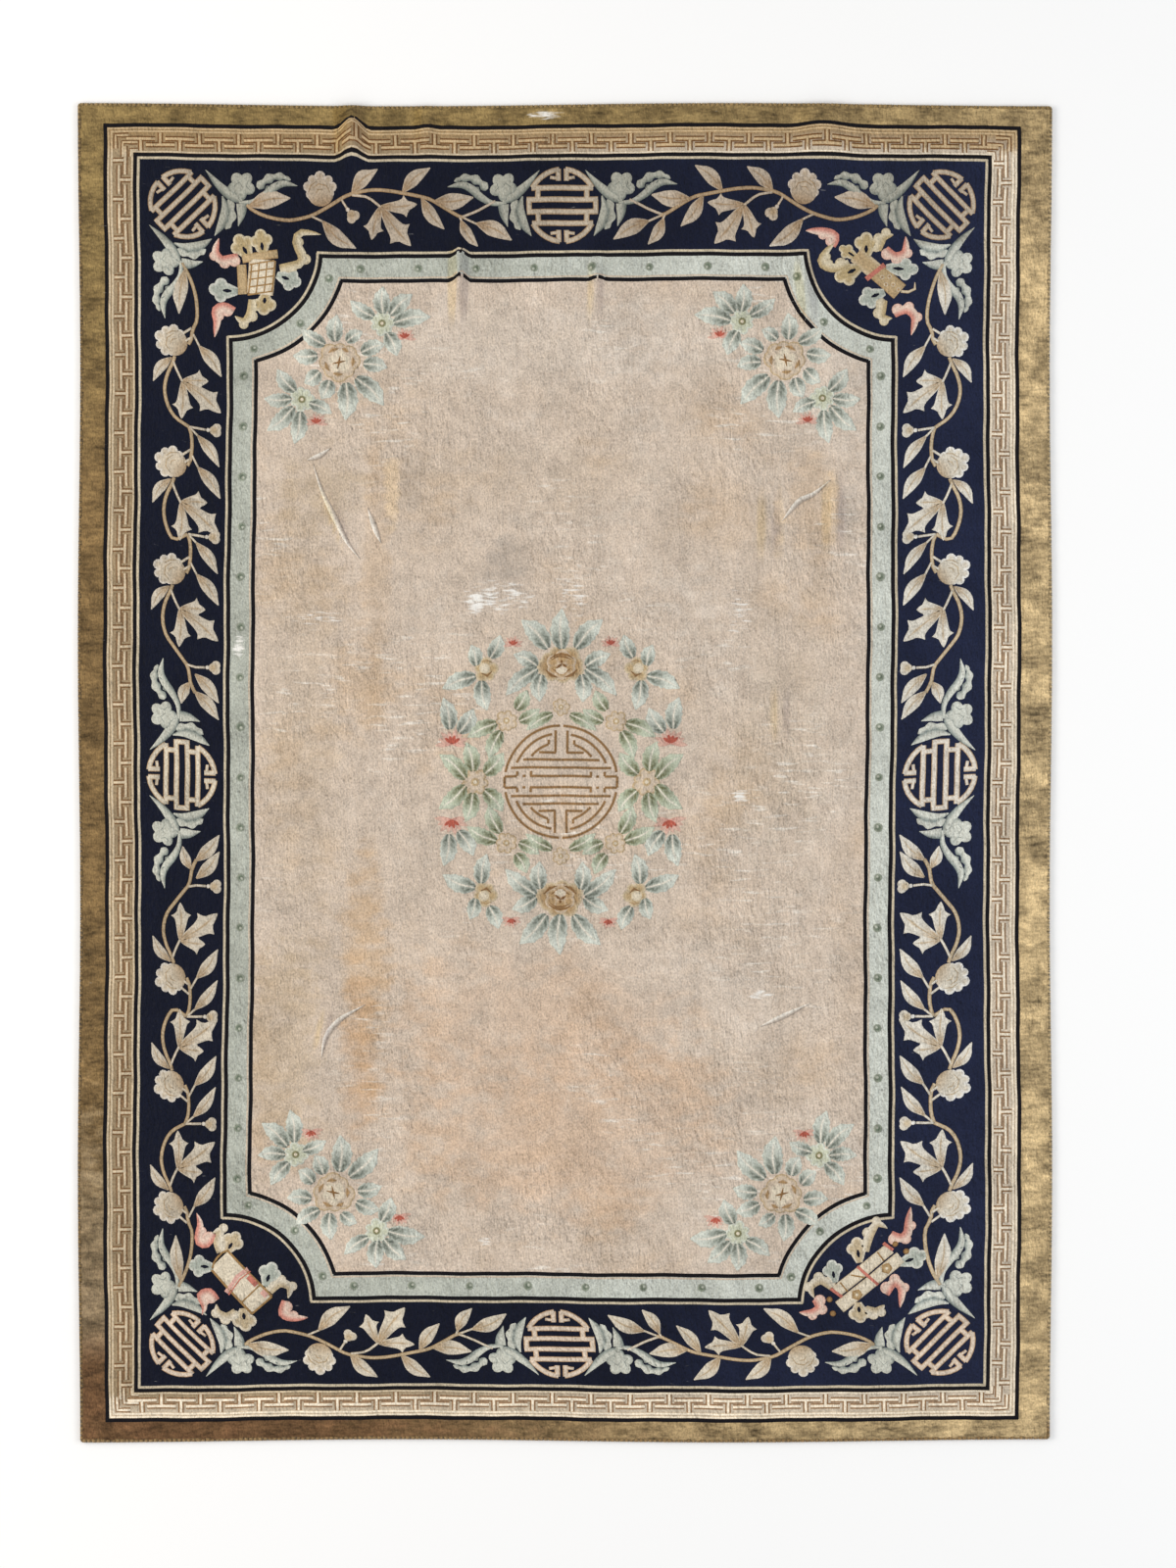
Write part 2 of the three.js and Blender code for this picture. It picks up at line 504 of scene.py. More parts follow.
def evenly(points, step=LINE_STEP):
    """More points along straight runs, so that a line can follow the ripples."""
    points = np.asarray(points, dtype=float)
    pieces = []
    for a, b in zip(points, points[1:]):
        count = max(1, round(np.hypot(*(b - a)) / step))
        pieces.append(a + (b - a) * np.linspace(0, 1, count, endpoint=False)[:, None])
    return np.vstack([*pieces, points[-1:]])


def box_sides(half_x, half_y):
    corners = [np.array([sx * half_x, sy * half_y]) for sx, sy in QUARTERS]
    return [(corners[i], corners[(i + 1) % 4]) for i in range(4)]


def notch_arc(quarter, depth):
    """The bitten corner of a frame line: an arc about the frame's corner, from end line to side line."""
    sx, sy = quarter
    wide, high = NOTCH_X + depth, NOTCH_Y + depth
    angle = np.linspace(math.asin(depth / high), math.acos(depth / wide), 25)
    return np.stack([sx * (FRAME_X - wide * np.cos(angle)), sy * (FRAME_Y - high * np.sin(angle))], axis=1)


def frame_runs(depth):
    """The straight runs of a frame line, between its bitten corners."""
    arcs = [notch_arc(quarter, depth) for quarter in QUARTERS]
    ends = [arc[np.argmax(np.abs(arc[:, 1]))] for arc in arcs]
    sides = [arc[np.argmax(np.abs(arc[:, 0]))] for arc in arcs]
    runs = [(ends[0], ends[1]), (sides[1], sides[2]), (ends[2], ends[3]), (sides[3], sides[0])]
    return runs, arcs


def solid(colour):
    return lambda along, across: mix(colour, colour, along * 0 + across * 0)


def edged(middle, edge, start=0.55):
    """Dye that changes from the middle of a stroke to both its edges."""
    return lambda along, across: mix(middle, edge, ease((np.abs(across) - start) / (1 - start)) + along * 0)


def overrun(start, stop, by):
    """A straight run that goes on past both ends, so that corners close."""
    ahead = (stop - start) / np.hypot(*(stop - start)) * by
    return evenly([start - ahead, stop + ahead])


def boxed(pile, half_x, half_y, half, dye, lift):
    """A raised line once round a box."""
    for start, stop in box_sides(half_x, half_y):
        pile.stroke(HERE, overrun(start, stop, half * BOX_OVERRUN), half, dye, lift)


LINE_DYE = edged(CREAM, LINE_GREY, 0.3)
GUARD_RINGS = [
    # half the box across and along, half width of the line, dye, lift
    (PATTERN_X - GUARD / 2, PATTERN_Y - GUARD / 2, GUARD / 2 + 1.2, solid(BLACK), 0.5),
    (INNER_GUARD_X - GUARD / 2, INNER_GUARD_Y - GUARD / 2, GUARD / 2 + 0.8, solid(BLACK), 0.5),
    (INNER_GUARD_X - 1.5 * GUARD, INNER_GUARD_Y - 1.5 * GUARD, GUARD / 2 - 0.4, LINE_DYE, 1.0),
]
FRAME_RINGS = [
    # depth inside the frame, half width of the line, dye, lift
    (GUARD / 2, GUARD / 2 - 0.6, LINE_DYE, 1.0),
    (GUARD * 1.5, GUARD / 2 + 0.8, solid(BLACK), 0.5),
    (FIELD_DEPTH - 3, 2.2, edged(PEACH, PEACH), 0.7),
    (FIELD_DEPTH + GUARD / 2 + 0.5, GUARD / 2 + 1.0, solid(BLACK), 0.5),
]
guard_lines = Pile()
for ring in GUARD_RINGS:
    boxed(guard_lines, *ring)
for depth, half, dye, lift in FRAME_RINGS:
    runs, arcs = frame_runs(depth)
    for start, stop in runs:
        guard_lines.stroke(HERE, overrun(start, stop, half * FRAME_OVERRUN), half, dye, lift)
    for arc in arcs:
        guard_lines.stroke(HERE, arc, half, dye, lift, rows=26)
guard_piece = woven("guard_lines", guard_lines)

# %% [markdown]
# ## One small language for node trees
# Materials and Geometry Nodes are both trees of nodes. `Graph.node` adds any node, sets its options first
# and then its sockets. `Wire` stands for a socket in an expression, so that `1 - mask * 0.5` adds the
# Math nodes by itself.

# %% Node helper
class Wire:
    """A socket that can be used in sums."""

    def __init__(self, graph, socket):
        self.graph, self.socket = graph, socket

    def math(self, operation, *values):
        sockets = dict(enumerate((self, *values)))
        return self.graph.node("ShaderNodeMath", {"operation": operation}, sockets)

    def __add__(self, other):
        return self.math("ADD", other)

    def __mul__(self, other):
        return self.math("MULTIPLY", other)

    def __sub__(self, other):
        return self.math("SUBTRACT", other)

    def __truediv__(self, other):
        return self.math("DIVIDE", other)

    def __rsub__(self, other):
        return (self * -1) + other

    __radd__ = __add__
    __rmul__ = __mul__

    def size(self):
        return self.math("ABSOLUTE")

    def least(self, other):
        return self.math("MINIMUM", other)

    def most(self, other):
        return self.math("MAXIMUM", other)

    def ramp(self, low, high):
        """0 below low, 1 above high and smooth between them."""
        sockets = {"Value": self, "From Min": low, "From Max": high}
        return self.graph.node("ShaderNodeMapRange", {"interpolation_type": "SMOOTHSTEP"}, sockets)


class Graph:
    """A node tree that is written as expressions."""

    def __init__(self, tree):
        self.tree = tree

    def node(self, kind, options=None, sockets=None, out=0):
        node = self.tree.nodes.new(kind)
        for key, value in (options or {}).items():
            setattr(node, key, value)
        for key, value in (sockets or {}).items():
            self.feed(node.inputs[key], value)
        return Wire(self, node.outputs[out]) if len(node.outputs) else node

    def feed(self, socket, value):
        if isinstance(value, Wire):
            self.tree.links.new(value.socket, socket)
        elif isinstance(value, np.ndarray):
            socket.default_value = (*value.tolist(), 1.0)
        else:
            socket.default_value = value

    def colours(self, first, second, share, blend="MIX"):
        """Mix two colours, which are sockets 6 and 7 of a Mix node. Its third output is the result."""
        options = {"data_type": "RGBA", "blend_type": blend}
        return self.node("ShaderNodeMix", options, {0: share, 6: first, 7: second}, out=2)

    def noise(self, place, stretch, scale, detail, swirl=0.0, shift=(0, 0, 0)):
        """Cloudy noise on cloth that is stretched along or across the rug and shifted a little."""
        options = {"operation": "MULTIPLY_ADD"}
        spread = self.node("ShaderNodeVectorMath", options, {0: place, 1: stretch, 2: shift})
        sockets = {"Vector": spread, "Scale": scale, "Detail": detail, "Distortion": swirl}
        return self.node("ShaderNodeTexNoise", None, sockets)


print("node helper ready")

# %% [markdown]
# ## Silk pile
# Silk pile is soft and grainy. Single tufts are lighter or darker, the dye batches change in faint cross
# rows, wear has bleached some places, and at a few bald ones the white foundation shows. Worn pile also
# lies in short ridges, and the light and shade of each ridge is painted into the dye. On a ripple, the
# flank on its left gets a painted warm light and the one on its right a painted grey shade. All of that
# is the same for each colour, so one function makes the finish and is told only where the dye comes from.

# %% Silk finish
BALD_SPOTS = [
    # x, y, half width, half height in millimetres, and how bare the middle is
    (-212, 440, 34, 42, 1.12),
    (-160, 452, 130, 60, 0.76),
    (-806, 330, 22, 40, 1.0),
    (-40, 1652, 60, 14, 1.0),
    (-181, -1165, 26, 18, 1.0),
    (455, -45, 34, 24, 0.95),
    (505, -545, 44, 16, 0.95),
    (30, 470, 60, 110, 0.62),
    (452, 408, 46, 100, 0.64),
    (-610, 400, 120, 30, 0.6),
]
FOUNDATION = silk("#f3f0ea")
# The grain of the pile, from fine to coarse: stretch across, along and up, scale, detail and perhaps swirl.
TUFTS = ((1, 0.8, 1), 230, 2)
RIDGES = ((1, 0.42, 1), 115, 2, 0.4)
CLUMPS = ((1, 0.5, 1), 105, 2, 0.6)
RAGGED = ((0.5, 2.4, 1), 60, 3, 0.3)
BRUSHED = ((1.2, 0.9, 1), 28, 3)
CRUMPLES = ((1, 0.55, 1), 22, 3, 0.9)
DYE_ROWS = ((0.2, 1.6, 1), 8, 3)
PATCHES = ((1.2, 0.8, 1), 7, 3)
CRUMPLED = ((1, 1, 1), 3, 2)
# The ridges again, shifted by a few millimetres, tell their lit side from the other, and the difference is
# painted into the dye as light and shade.
RIDGE_SHIFT = (0.0024, 0.0011, 0)
# Painted light and shade on a ripple: how much red, green and blue is kept on its lit left flank and its
# shaded right flank, and the slopes for that.
PAINTED_LIT_FLANK = np.array((1.0, 0.95, 0.80))
PAINTED_SHADED_FLANK = np.array((0.78, 0.77, 0.80))
FLANK_SLOPES = (0.03, 0.32)
BUMP_STRENGTH = 0.7
BUMP_HEIGHT = 0.0016
ROUGHNESS = 0.75
SPECULAR = 0.12
SHEEN = 0.06
SHEEN_ROUGHNESS = 0.4


def distance_squared(x, y, row):
    """Distance from a spot, squared, with 1 at its rim. row starts with its middle and its half sizes."""
    away_x = (x - row[0] * MM) / (row[2] * MM)
    away_y = (y - row[1] * MM) / (row[3] * MM)
    return away_x * away_x + away_y * away_y


def bald_places(g, x, y, cloth):
    """1 where the foundation shows, with a ragged rim."""
    bald = 0
    for row in BALD_SPOTS:
        bare = row[4]
        bald = (bare - distance_squared(x, y, row) * bare).most(bald)
    return (bald * 0.8 + g.noise(cloth, *RAGGED) * 1.9 - 1.35).ramp(0.0, 0.55)


def silk_finish(name, dyed):
    """A silk pile material. dyed takes the graph and the flat place, and gives the dye."""
    material = bpy.data.materials.new(name)
    material.use_nodes = True
    tree = material.node_tree
    shader = tree.nodes["Principled BSDF"]
    g = Graph(tree)
    cloth = g.node("ShaderNodeAttribute", {"attribute_name": "cloth"}, out=1)
    lean = g.node("ShaderNodeAttribute", {"attribute_name": "lean"}, out=2)
    parts = tree.nodes.new("ShaderNodeSeparateXYZ")
    tree.links.new(cloth.socket, parts.inputs[0])
    x = Wire(g, parts.outputs[0])
    y = Wire(g, parts.outputs[1])

    tufts = g.noise(cloth, *TUFTS) - 0.5
    clumps = g.noise(cloth, *CLUMPS) - 0.5
    brushed = g.noise(cloth, *BRUSHED) - 0.5
    patches = g.noise(cloth, *PATCHES) - 0.5
    rows = g.noise(cloth, *DYE_ROWS) - 0.5
    crumples = (g.noise(cloth, *CRUMPLES) - 0.5).size()
    crumpled = g.noise(cloth, *CRUMPLED).ramp(0.4, 0.62)
    ridges = g.noise(cloth, *RIDGES)
    lit_side = ridges - g.noise(cloth, *RIDGES, RIDGE_SHIFT)
    shade = 1 + tufts * 1.1 + clumps * 0.3 + brushed * 0.5 + patches * 0.55 + rows * 0.2
    # Painted light and shade: the lit side of each small ridge is lighter in the dye and the other side
    # darker.
    shade = shade + lit_side * (0.7 + crumpled * 0.6)

    colour = g.colours(dyed(g, x, y, cloth), shade, 1.0, "MULTIPLY")
    # Painted warm light on the flank of a ripple that faces left, and painted grey shade on the flank that
    # faces right.
    colour = g.colours(colour, PAINTED_LIT_FLANK, lean.ramp(*FLANK_SLOPES), "MULTIPLY")
    colour = g.colours(colour, PAINTED_SHADED_FLANK, (lean * -1).ramp(*FLANK_SLOPES), "MULTIPLY")
    colour = g.colours(colour, FOUNDATION, bald_places(g, x, y, cloth))
    relief = tufts + ridges * 6 + brushed * 3 + crumples * crumpled * 10
    bump_sockets = {"Strength": BUMP_STRENGTH, "Distance": BUMP_HEIGHT, "Height": relief}
    g.feed(shader.inputs["Base Color"], colour)
    g.feed(shader.inputs["Roughness"], ROUGHNESS + clumps * 0.5)
    g.feed(shader.inputs["Normal"], g.node("ShaderNodeBump", None, bump_sockets))
    shader.inputs["Specular IOR Level"].default_value = SPECULAR
    shader.inputs["Sheen Weight"].default_value = SHEEN
    shader.inputs["Sheen Roughness"].default_value = SHEEN_ROUGHNESS
    return material


def stitched_dye(g, x, y, cloth):
    """The dye that each point of a motif remembers."""
    return g.node("ShaderNodeAttribute", {"attribute_name": "dye"}, out=0)


motif_silk = silk_finish("motif_silk", stitched_dye)
print("motif silk nodes:", len(motif_silk.node_tree.nodes))

# %% [markdown]
# ## The ground's dyes
# The ground changes dye from band to band. We could cut the sheet into bands, but the bands are simple
# distances: how far a point lies inside the pattern's outline, and how far inside the notched frame. Two
# sums give both, and a chain of mixes puts each dye in its band. The plain border is darker on the left,
# where its pile leans away from the light: a painted shade. A few soft stains are listed by place, with
# strips of painted light and shade beside the folds and ripples of the field.

# %% Ground dyes
GOLD_SHADE = silk("#7b6340")
GOLD_LIGHT = silk("#c0a87e")
GOLD_DEEP = silk("#6a4d34")
GOLD_OLIVE = silk("#8a754a")
GOLD_FADED = silk("#a99a7c")
FRET_LEFT = silk("#9c886b")
FRET_RIGHT = silk("#c6b8a5")
FRET_TOP = silk("#997e58")
FRET_BOTTOM = silk("#cbbca6")
CELADON = silk("#c6c9c0")
CELADON_GREY = silk("#adb0a5")
NAVY_WORN_AND_SHEEN = silk("#1e243c")
FIELD_PEACH = silk("#cbbaa9")
FIELD_WARM = silk("#c5a98a")
FIELD_KHAKI = silk("#b8a387")
FIELD_ROSE = silk("#cfb094")
FIELD_ORANGE = silk("#c2986e")
FIELD_PALE = silk("#d4c8bb")
# Worn pile for the scuffs, and also the painted highlight on the lit side of each crease.
FIELD_WORN_AND_LIT = silk("#e6dfd4")
# A painted highlight for the lit sides of folds and ripples in the field.
FIELD_LIT = silk("#dcc3a3")
# Grey for a smudge, and painted shade on the far sides of folds, ripples and creases.
SMUDGE_AND_SHADE = silk("#958b81")
# Stains and patches of tone by place, and among them painted light and shade: the narrow pale strips and the
# grey strips beside them on the folds and ripples are a painted highlight and a painted shade, and the warm
# patches over the same ripples a painted warm light. The grey patch at the end is a smudge.
STAINS_AND_PAINTED_LIGHT = [
    # x, y, half width, half height in millimetres, dye, strength
    (0, 1090, 620, 130, FIELD_PALE, 0.5),
    (560, 60, 170, 320, FIELD_KHAKI, 0.22),
    (360, -600, 200, 180, FIELD_PALE, 0.32),
    (-60, -620, 420, 230, FIELD_ROSE, 0.5),
    (20, -880, 460, 260, FIELD_ROSE, 0.6),
    (-650, 150, 120, 700, FIELD_KHAKI, 0.25),
    (-600, 720, 130, 120, FIELD_KHAKI, 0.5),
    (-60, 745, 380, 110, FIELD_KHAKI, 0.12),
    (-680, -650, 100, 330, FIELD_KHAKI, 0.5),
    (-463, 540, 45, 340, FIELD_WARM, 0.4),
    (-426, 723, 22, 110, FIELD_LIT, 0.8),
    (-374, 740, 32, 80, SMUDGE_AND_SHADE, 0.35),
    (-500, 235, 110, 110, FIELD_WARM, 0.5),
    (-485, -480, 70, 340, FIELD_WARM, 0.85),
    (-496, -700, 62, 250, FIELD_ORANGE, 0.45),
    (632, 690, 80, 150, FIELD_WARM, 0.55),
    (683, 700, 18, 120, FIELD_LIT, 0.8),
    (546, 640, 18, 100, FIELD_LIT, 0.7),
    (513, 645, 16, 80, SMUDGE_AND_SHADE, 0.35),
    (728, 665, 18, 100, SMUDGE_AND_SHADE, 0.3),
    (410, 660, 110, 120, FIELD_WARM, 0.25),
    (-148, 515, 84, 120, SMUDGE_AND_SHADE, 0.5),
]
# The clouds and streaks of the ground, as for the grain of the pile.
MOTTLE = ((1, 1, 1), 3.5, 4)
FLECKS = ((0.6, 1, 1), 30, 4)
NAP = ((0.5, 1.4, 1), 90, 3)
COMBED = ((0.35, 1.6, 1), 55, 3)
TURNED = ((0.8, 1, 1), 11, 3)
SCUFFS = ((0.5, 3.2, 1), 30, 4, 0.4)
WORN_PLACES = ((1, 1, 1), 2.6, 2)


def gold_border(g, x, y, cloth, flecks):
    """Darker to the left and at the lower left corner, more olive at the top, and brushed all over."""
    gold = g.colours(GOLD_SHADE, GOLD_LIGHT, (x - y.most(0) * 0.2 + flecks * 1.3 - 0.65).ramp(-0.9, 1.35))
    gold = g.colours(gold, GOLD_OLIVE, (y + flecks * 0.3 - x * 0.3).ramp(1.1, 1.9) * 0.85)
    gold = g.colours(gold, GOLD_DEEP, (flecks * 0.8 - y - x * 0.55).ramp(1.8, 2.5))
    low = (flecks * 0.8 - y - 0.4).ramp(0.75, 1.15) * (1 - (y * -1).ramp(1.35, 1.5))
    low_left = low * (x * -1).ramp(0.9, 1.1)
    gold = g.colours(gold, GOLD_FADED, low_left * 0.45)
    turned = g.noise(cloth, *TURNED).ramp(0.36, 0.6)
    gold = g.colours(gold, GOLD_SHADE, turned * 0.16)
    brush = (g.noise(cloth, *NAP) - 0.5) * 1.4 + (flecks - 0.5) * 1.7 + (g.noise(cloth, *COMBED) - 0.5) * 0.7
    brush = brush - (turned - 0.5) * (0.32 + x.ramp(0.5, 1.2) * 0.14)
    return g.colours(gold, 1 + brush, 1.0, "MULTIPLY")


def fret_ground(g, x, y):
    """Paler to the right and at the bottom, browner at the top: a painted sheen on the right and a painted
    shade along the top.
    """
    fret = g.colours(FRET_LEFT, FRET_RIGHT, x.ramp(-0.6, 0.6))
    fret = g.colours(fret, FRET_TOP, y.ramp(INNER_GUARD_Y * MM, FRET_Y * MM))
    return g.colours(fret, FRET_BOTTOM, (y * -1).ramp(INNER_GUARD_Y * MM, FRET_Y * MM))


def field_ground(g, x, y, cloth, mottle, flecks):
    """Peach in soft clouds, a little paler to the right with painted sheen, then the stains and the painted
    light and shade one by one, then pale scuffs.
    """
    field = g.colours(FIELD_PEACH, FIELD_WARM, (mottle * 1.2 + flecks * 0.8).ramp(0.95, 1.4) * 0.6)
    field = g.colours(field, FIELD_PALE, (flecks * 1.1 - mottle * 0.7 + x * 0.12).ramp(0.15, 0.6) * 0.6)
    for row in STAINS_AND_PAINTED_LIGHT:
        dye, strength = row[4:]
        near = 1 - distance_squared(x, y, row) + (mottle + flecks * 1.5 - 1.25) * 1.8
        field = g.colours(field, dye, near.ramp(-0.2, 1.1) * strength)
    scuffs = g.noise(cloth, *SCUFFS).ramp(0.55, 0.7) * g.noise(cloth, *WORN_PLACES).ramp(0.48, 0.62)
    return g.colours(field, FIELD_WORN_AND_LIT, scuffs * 0.75)


def ground_dye(g, x, y, cloth):
    side = x.size()
    end = y.size()
    outside = (side - PATTERN_X * MM).most(end - PATTERN_Y * MM)
    left_x = FRAME_X * MM - side
    left_y = FRAME_Y * MM - end
    bite_x = left_x * (NOTCH_Y / NOTCH_X)
    corner = (bite_x * bite_x + left_y * left_y).math("SQRT") - NOTCH_Y * MM
    inside = left_x.least(left_y).least(corner)

    mottle = g.noise(cloth, *MOTTLE)
    flecks = g.noise(cloth, *FLECKS)
    gold = gold_border(g, x, y, cloth, flecks)
    fret = fret_ground(g, x, y)
    field = field_ground(g, x, y, cloth, mottle, flecks)
    # The celadon is paler in patches, and paler to the right with painted sheen. The navy is worn paler in
    # patches, and paler to the right with the same painted sheen.
    celadon = g.colours(CELADON_GREY, CELADON, (mottle * 0.8 + flecks * 0.7 + x * 0.4).ramp(0.4, 1.05))
    navy = g.colours(NAVY, NAVY_WORN_AND_SHEEN, (mottle * 0.6 + x * 0.4).ramp(0.2, 0.85))

    # Each change of dye is a millimetre wide and lies under a guard line.
    ground = g.colours(navy, celadon, inside.ramp(12 * MM, 13 * MM))
    ground = g.colours(ground, field, inside.ramp((FIELD_DEPTH + 3) * MM, (FIELD_DEPTH + 4) * MM))
    ground = g.colours(ground, fret, (outside + (GUARD * 1.5 + FRET_BAND) * MM).ramp(0, 1 * MM))
    return g.colours(ground, gold, (outside + GUARD * 0.5 * MM).ramp(0, 1 * MM))


ground_silk = silk_finish("ground_silk", ground_dye)
rug_ground.data.materials.append(ground_silk)
print("ground silk nodes:", len(ground_silk.node_tree.nodes))

# %% [markdown]
# ## Repeats with Geometry Nodes
# The fret, the row of pearls and the overcast edge repeat one small shape many times along a line.
# Geometry Nodes does that well: it turns the line into points, puts a copy on each point, turned along
# the line, and makes the copies real. The result is turned into a plain mesh and laid on the ripples like
# all the rest.

# %% Repeat tree
def repeat_tree():
    tree = bpy.data.node_groups.new("repeat_along_line", "GeometryNodeTree")
    sockets = {
        "Line": "NodeSocketGeometry",
        "Motif": "NodeSocketObject",
        "Count": "NodeSocketInt",
        "Smallest": "NodeSocketFloat",
        "Seed": "NodeSocketInt",
        "Finish": "NodeSocketMaterial",
    }
    for name, kind in sockets.items():
        tree.interface.new_socket(name=name, in_out="INPUT", socket_type=kind)
    tree.interface.new_socket(name="Repeats", in_out="OUTPUT", socket_type="NodeSocketGeometry")
    g = Graph(tree)
    entry = tree.nodes.new("NodeGroupInput")
    given = {name: Wire(g, entry.outputs[name]) for name in sockets}
    curve = g.node("GeometryNodeMeshToCurve", None, {"Mesh": given["Line"]})
    points = g.node("GeometryNodeCurveToPoints", {"mode": "COUNT"}, {"Curve": curve, "Count": given["Count"]})
    tangent = Wire(g, points.socket.node.outputs["Tangent"])
    axes = {"axis": "X", "pivot_axis": "Z"}
    turn = g.node("FunctionNodeAlignRotationToVector", axes, {"Vector": tangent})
    motif = {"Object": given["Motif"], "As Instance": True}
    copy = g.node("GeometryNodeObjectInfo", None, motif, out="Geometry")
    # Sockets 2 and 3 of a Random Value node are the limits of its float, which is its second output.
    limits = {2: given["Smallest"], 3: 1.0, "Seed": given["Seed"]}
    size = g.node("FunctionNodeRandomValue", None, limits, out=1)
    placing = {"Points": points, "Instance": copy, "Rotation": turn, "Scale": size}
    copies = g.node("GeometryNodeInstanceOnPoints", None, placing)
    real = g.node("GeometryNodeRealizeInstances", None, {"Geometry": copies})
    done = g.node("GeometryNodeSetMaterial", None, {"Geometry": real, "Material": given["Finish"]})
    leave = tree.nodes.new("NodeGroupOutput")
    g.feed(leave.inputs[0], done)
    return tree


repeat_along_line = repeat_tree()


def template(name, pile):
    """A motif in flat millimetres, to be copied."""
    mesh = bpy.data.meshes.new(name)
    mesh.from_pydata(np.c_[np.vstack(pile.flat), np.concatenate(pile.height)].tolist(), [], pile.faces)
    store_dye(mesh, np.vstack(pile.dye))
    return placed_object(name, mesh)


def repeats(pile, motif, line, count, smallest=1.0, seed=1):
    """Add copies of the motif along a line to a pile."""
    mesh = bpy.data.meshes.new("repeat_run")
    edges = [(i, i + 1) for i in range(len(line) - 1)]
    mesh.from_pydata(np.c_[line, np.zeros(len(line))].tolist(), edges, [])
    carrier = placed_object("repeat_run", mesh)
    modifier = carrier.modifiers.new("repeats", "NODES")
    modifier.node_group = repeat_along_line
    values = {"Motif": motif, "Count": count, "Smallest": smallest, "Seed": seed, "Finish": motif_silk}
    for socket in repeat_along_line.interface.items_tree:
        if socket.in_out == "INPUT" and socket.name in values:
            modifier[socket.identifier] = values[socket.name]
    evaluated = carrier.evaluated_get(bpy.context.evaluated_depsgraph_get())
    grown = bpy.data.meshes.new_from_object(evaluated)
    bpy.data.objects.remove(carrier)
    place = np.empty(3 * len(grown.vertices))
    grown.vertices.foreach_get("co", place)
    place = place.reshape(-1, 3)
    dye = np.empty(4 * len(grown.vertices))
    grown.attributes["dye"].data.foreach_get("color", dye)
    faces = [tuple(face.vertices) for face in grown.polygons]
    pile.add(place[:, :2], place[:, 2], dye.reshape(-1, 4)[:, :3], faces, False)


print("repeat tree nodes:", len(repeat_along_line.nodes))

# %% [markdown]
# ## The fret
# The outer band holds two rows of T shapes that lock into each other: one row hangs from the outer line,
# the other stands on the inner line. One unit is a pair of them. Each T is a cream line on a broader
# brown one, so that a brown edge shows on both sides.

# %% Fret
FRET_STRIP = 15
FRET_DEPTH = FRET_BAND - FRET_STRIP - 5
FRET_PITCH = 98
T_BAR = 37
T_STEM = 30
FRET_CREAM = silk("#d8cab0")
FRET_BROWN = silk("#7f5f40")
FRET_DYE = edged(FRET_CREAM, STRAW, 0.4)
# Spacing of the rows, and half widths of the brown and the cream line, in a T and in a corner.
T_SIZES = (14, 7.6, 4.2)
CORNER_SIZES = (9, 7.0, 3.8)
# In each corner of the fret, two bent lines and a short one close the row.
FRET_CORNER = [
    [(6, 40), (6, 6), (40, 6)],
    [(24, 62), (24, 24), (62, 24)],
    [(44, 62), (44, 44), (62, 44)],
]
# Plain lines beside the fret: half the box across and along, and half width.
FRET_LINES = [
    (FRET_X - 3.4, FRET_Y - 3.4, 3.2),
    (FRET_X - 11.2, FRET_Y - 11.2, 3.6),
    (INNER_GUARD_X + 2.6, INNER_GUARD_Y + 2.6, 3.0),
]
# How much of the fret's red, green and blue is kept at the left, right, top and bottom, and where the ends
# begin. A painted sheen pales the right side, a painted shade darkens the left and the top, and the bottom is
# paler.
FRET_SHEEN_AND_SHADE = (
    np.array((0.87, 0.83, 0.79)), np.array((1.17, 1.21, 1.33)),
    np.array((0.79, 0.68, 0.54)), np.array((1.32, 1.35, 1.46)), INNER_GUARD_Y,
)
SIDE_BLEND = 20


def fret_bars(pile, put, lines, step, brown_half, cream_half):
    """Cream lines on broader brown ones."""
    for line in lines:
        pile.stroke(put, evenly(line, step), brown_half, solid(FRET_BROWN), 0.6)
    for line in lines:
        pile.stroke(put, evenly(line, step), cream_half, FRET_DYE, 1.3)


def tee(pile, put):
    """A T that hangs from the line y = 0."""
    lines = [[(0, -1), (0, T_STEM)], [(-T_BAR, T_STEM), (T_BAR, T_STEM)]]
    fret_bars(pile, put, lines, *T_SIZES)


def paint_sheen_and_shade(pile, left, right, top, bottom, end):
    """Paint sheen and shade into a pile's dyes by side. Its ends begin at the height called end."""
    for number, flat in enumerate(pile.flat):
        tone = mix(left, right, ease(0.5 + flat[:, 0] / FRET_X))
        for end_tone, way in ((top, 1), (bottom, -1)):
            tone += (end_tone - tone) * ease((way * flat[:, 1] - end) / SIDE_BLEND)[:, None]
        pile.dye[number] = pile.dye[number] * tone


fret_unit = Pile()
tee(fret_unit, Put((-FRET_PITCH / 4, 0)))
tee(fret_unit, Put((FRET_PITCH / 4, FRET_DEPTH), (1, 0), (0, -1)))
fret_motif = template("fret_unit", fret_unit)
fret_x = FRET_X - FRET_STRIP
fret_y = FRET_Y - FRET_STRIP
fret_clear = FRET_DEPTH + 0.5 * FRET_PITCH
fret = Pile()
for start, stop in box_sides(fret_x, fret_y):
    length = np.hypot(*(stop - start))
    ahead = (stop - start) / length
    run = np.array([stop - ahead * fret_clear, start + ahead * fret_clear])
    repeats(fret, fret_motif, run, round((length - 2 * fret_clear) / FRET_PITCH) + 1)
bpy.data.objects.remove(fret_motif)
for sx, sy in QUARTERS:
    corner = Put((sx * fret_x, sy * fret_y), (-sx, 0), (0, -sy))
    for line in FRET_CORNER:
        fret_bars(fret, corner, [line], *CORNER_SIZES)
for half_x, half_y, half in FRET_LINES:
    boxed(fret, half_x, half_y, half, edged(FRET_CREAM, STRAW, 0.3), 0.9)
paint_sheen_and_shade(fret, *FRET_SHEEN_AND_SHADE)
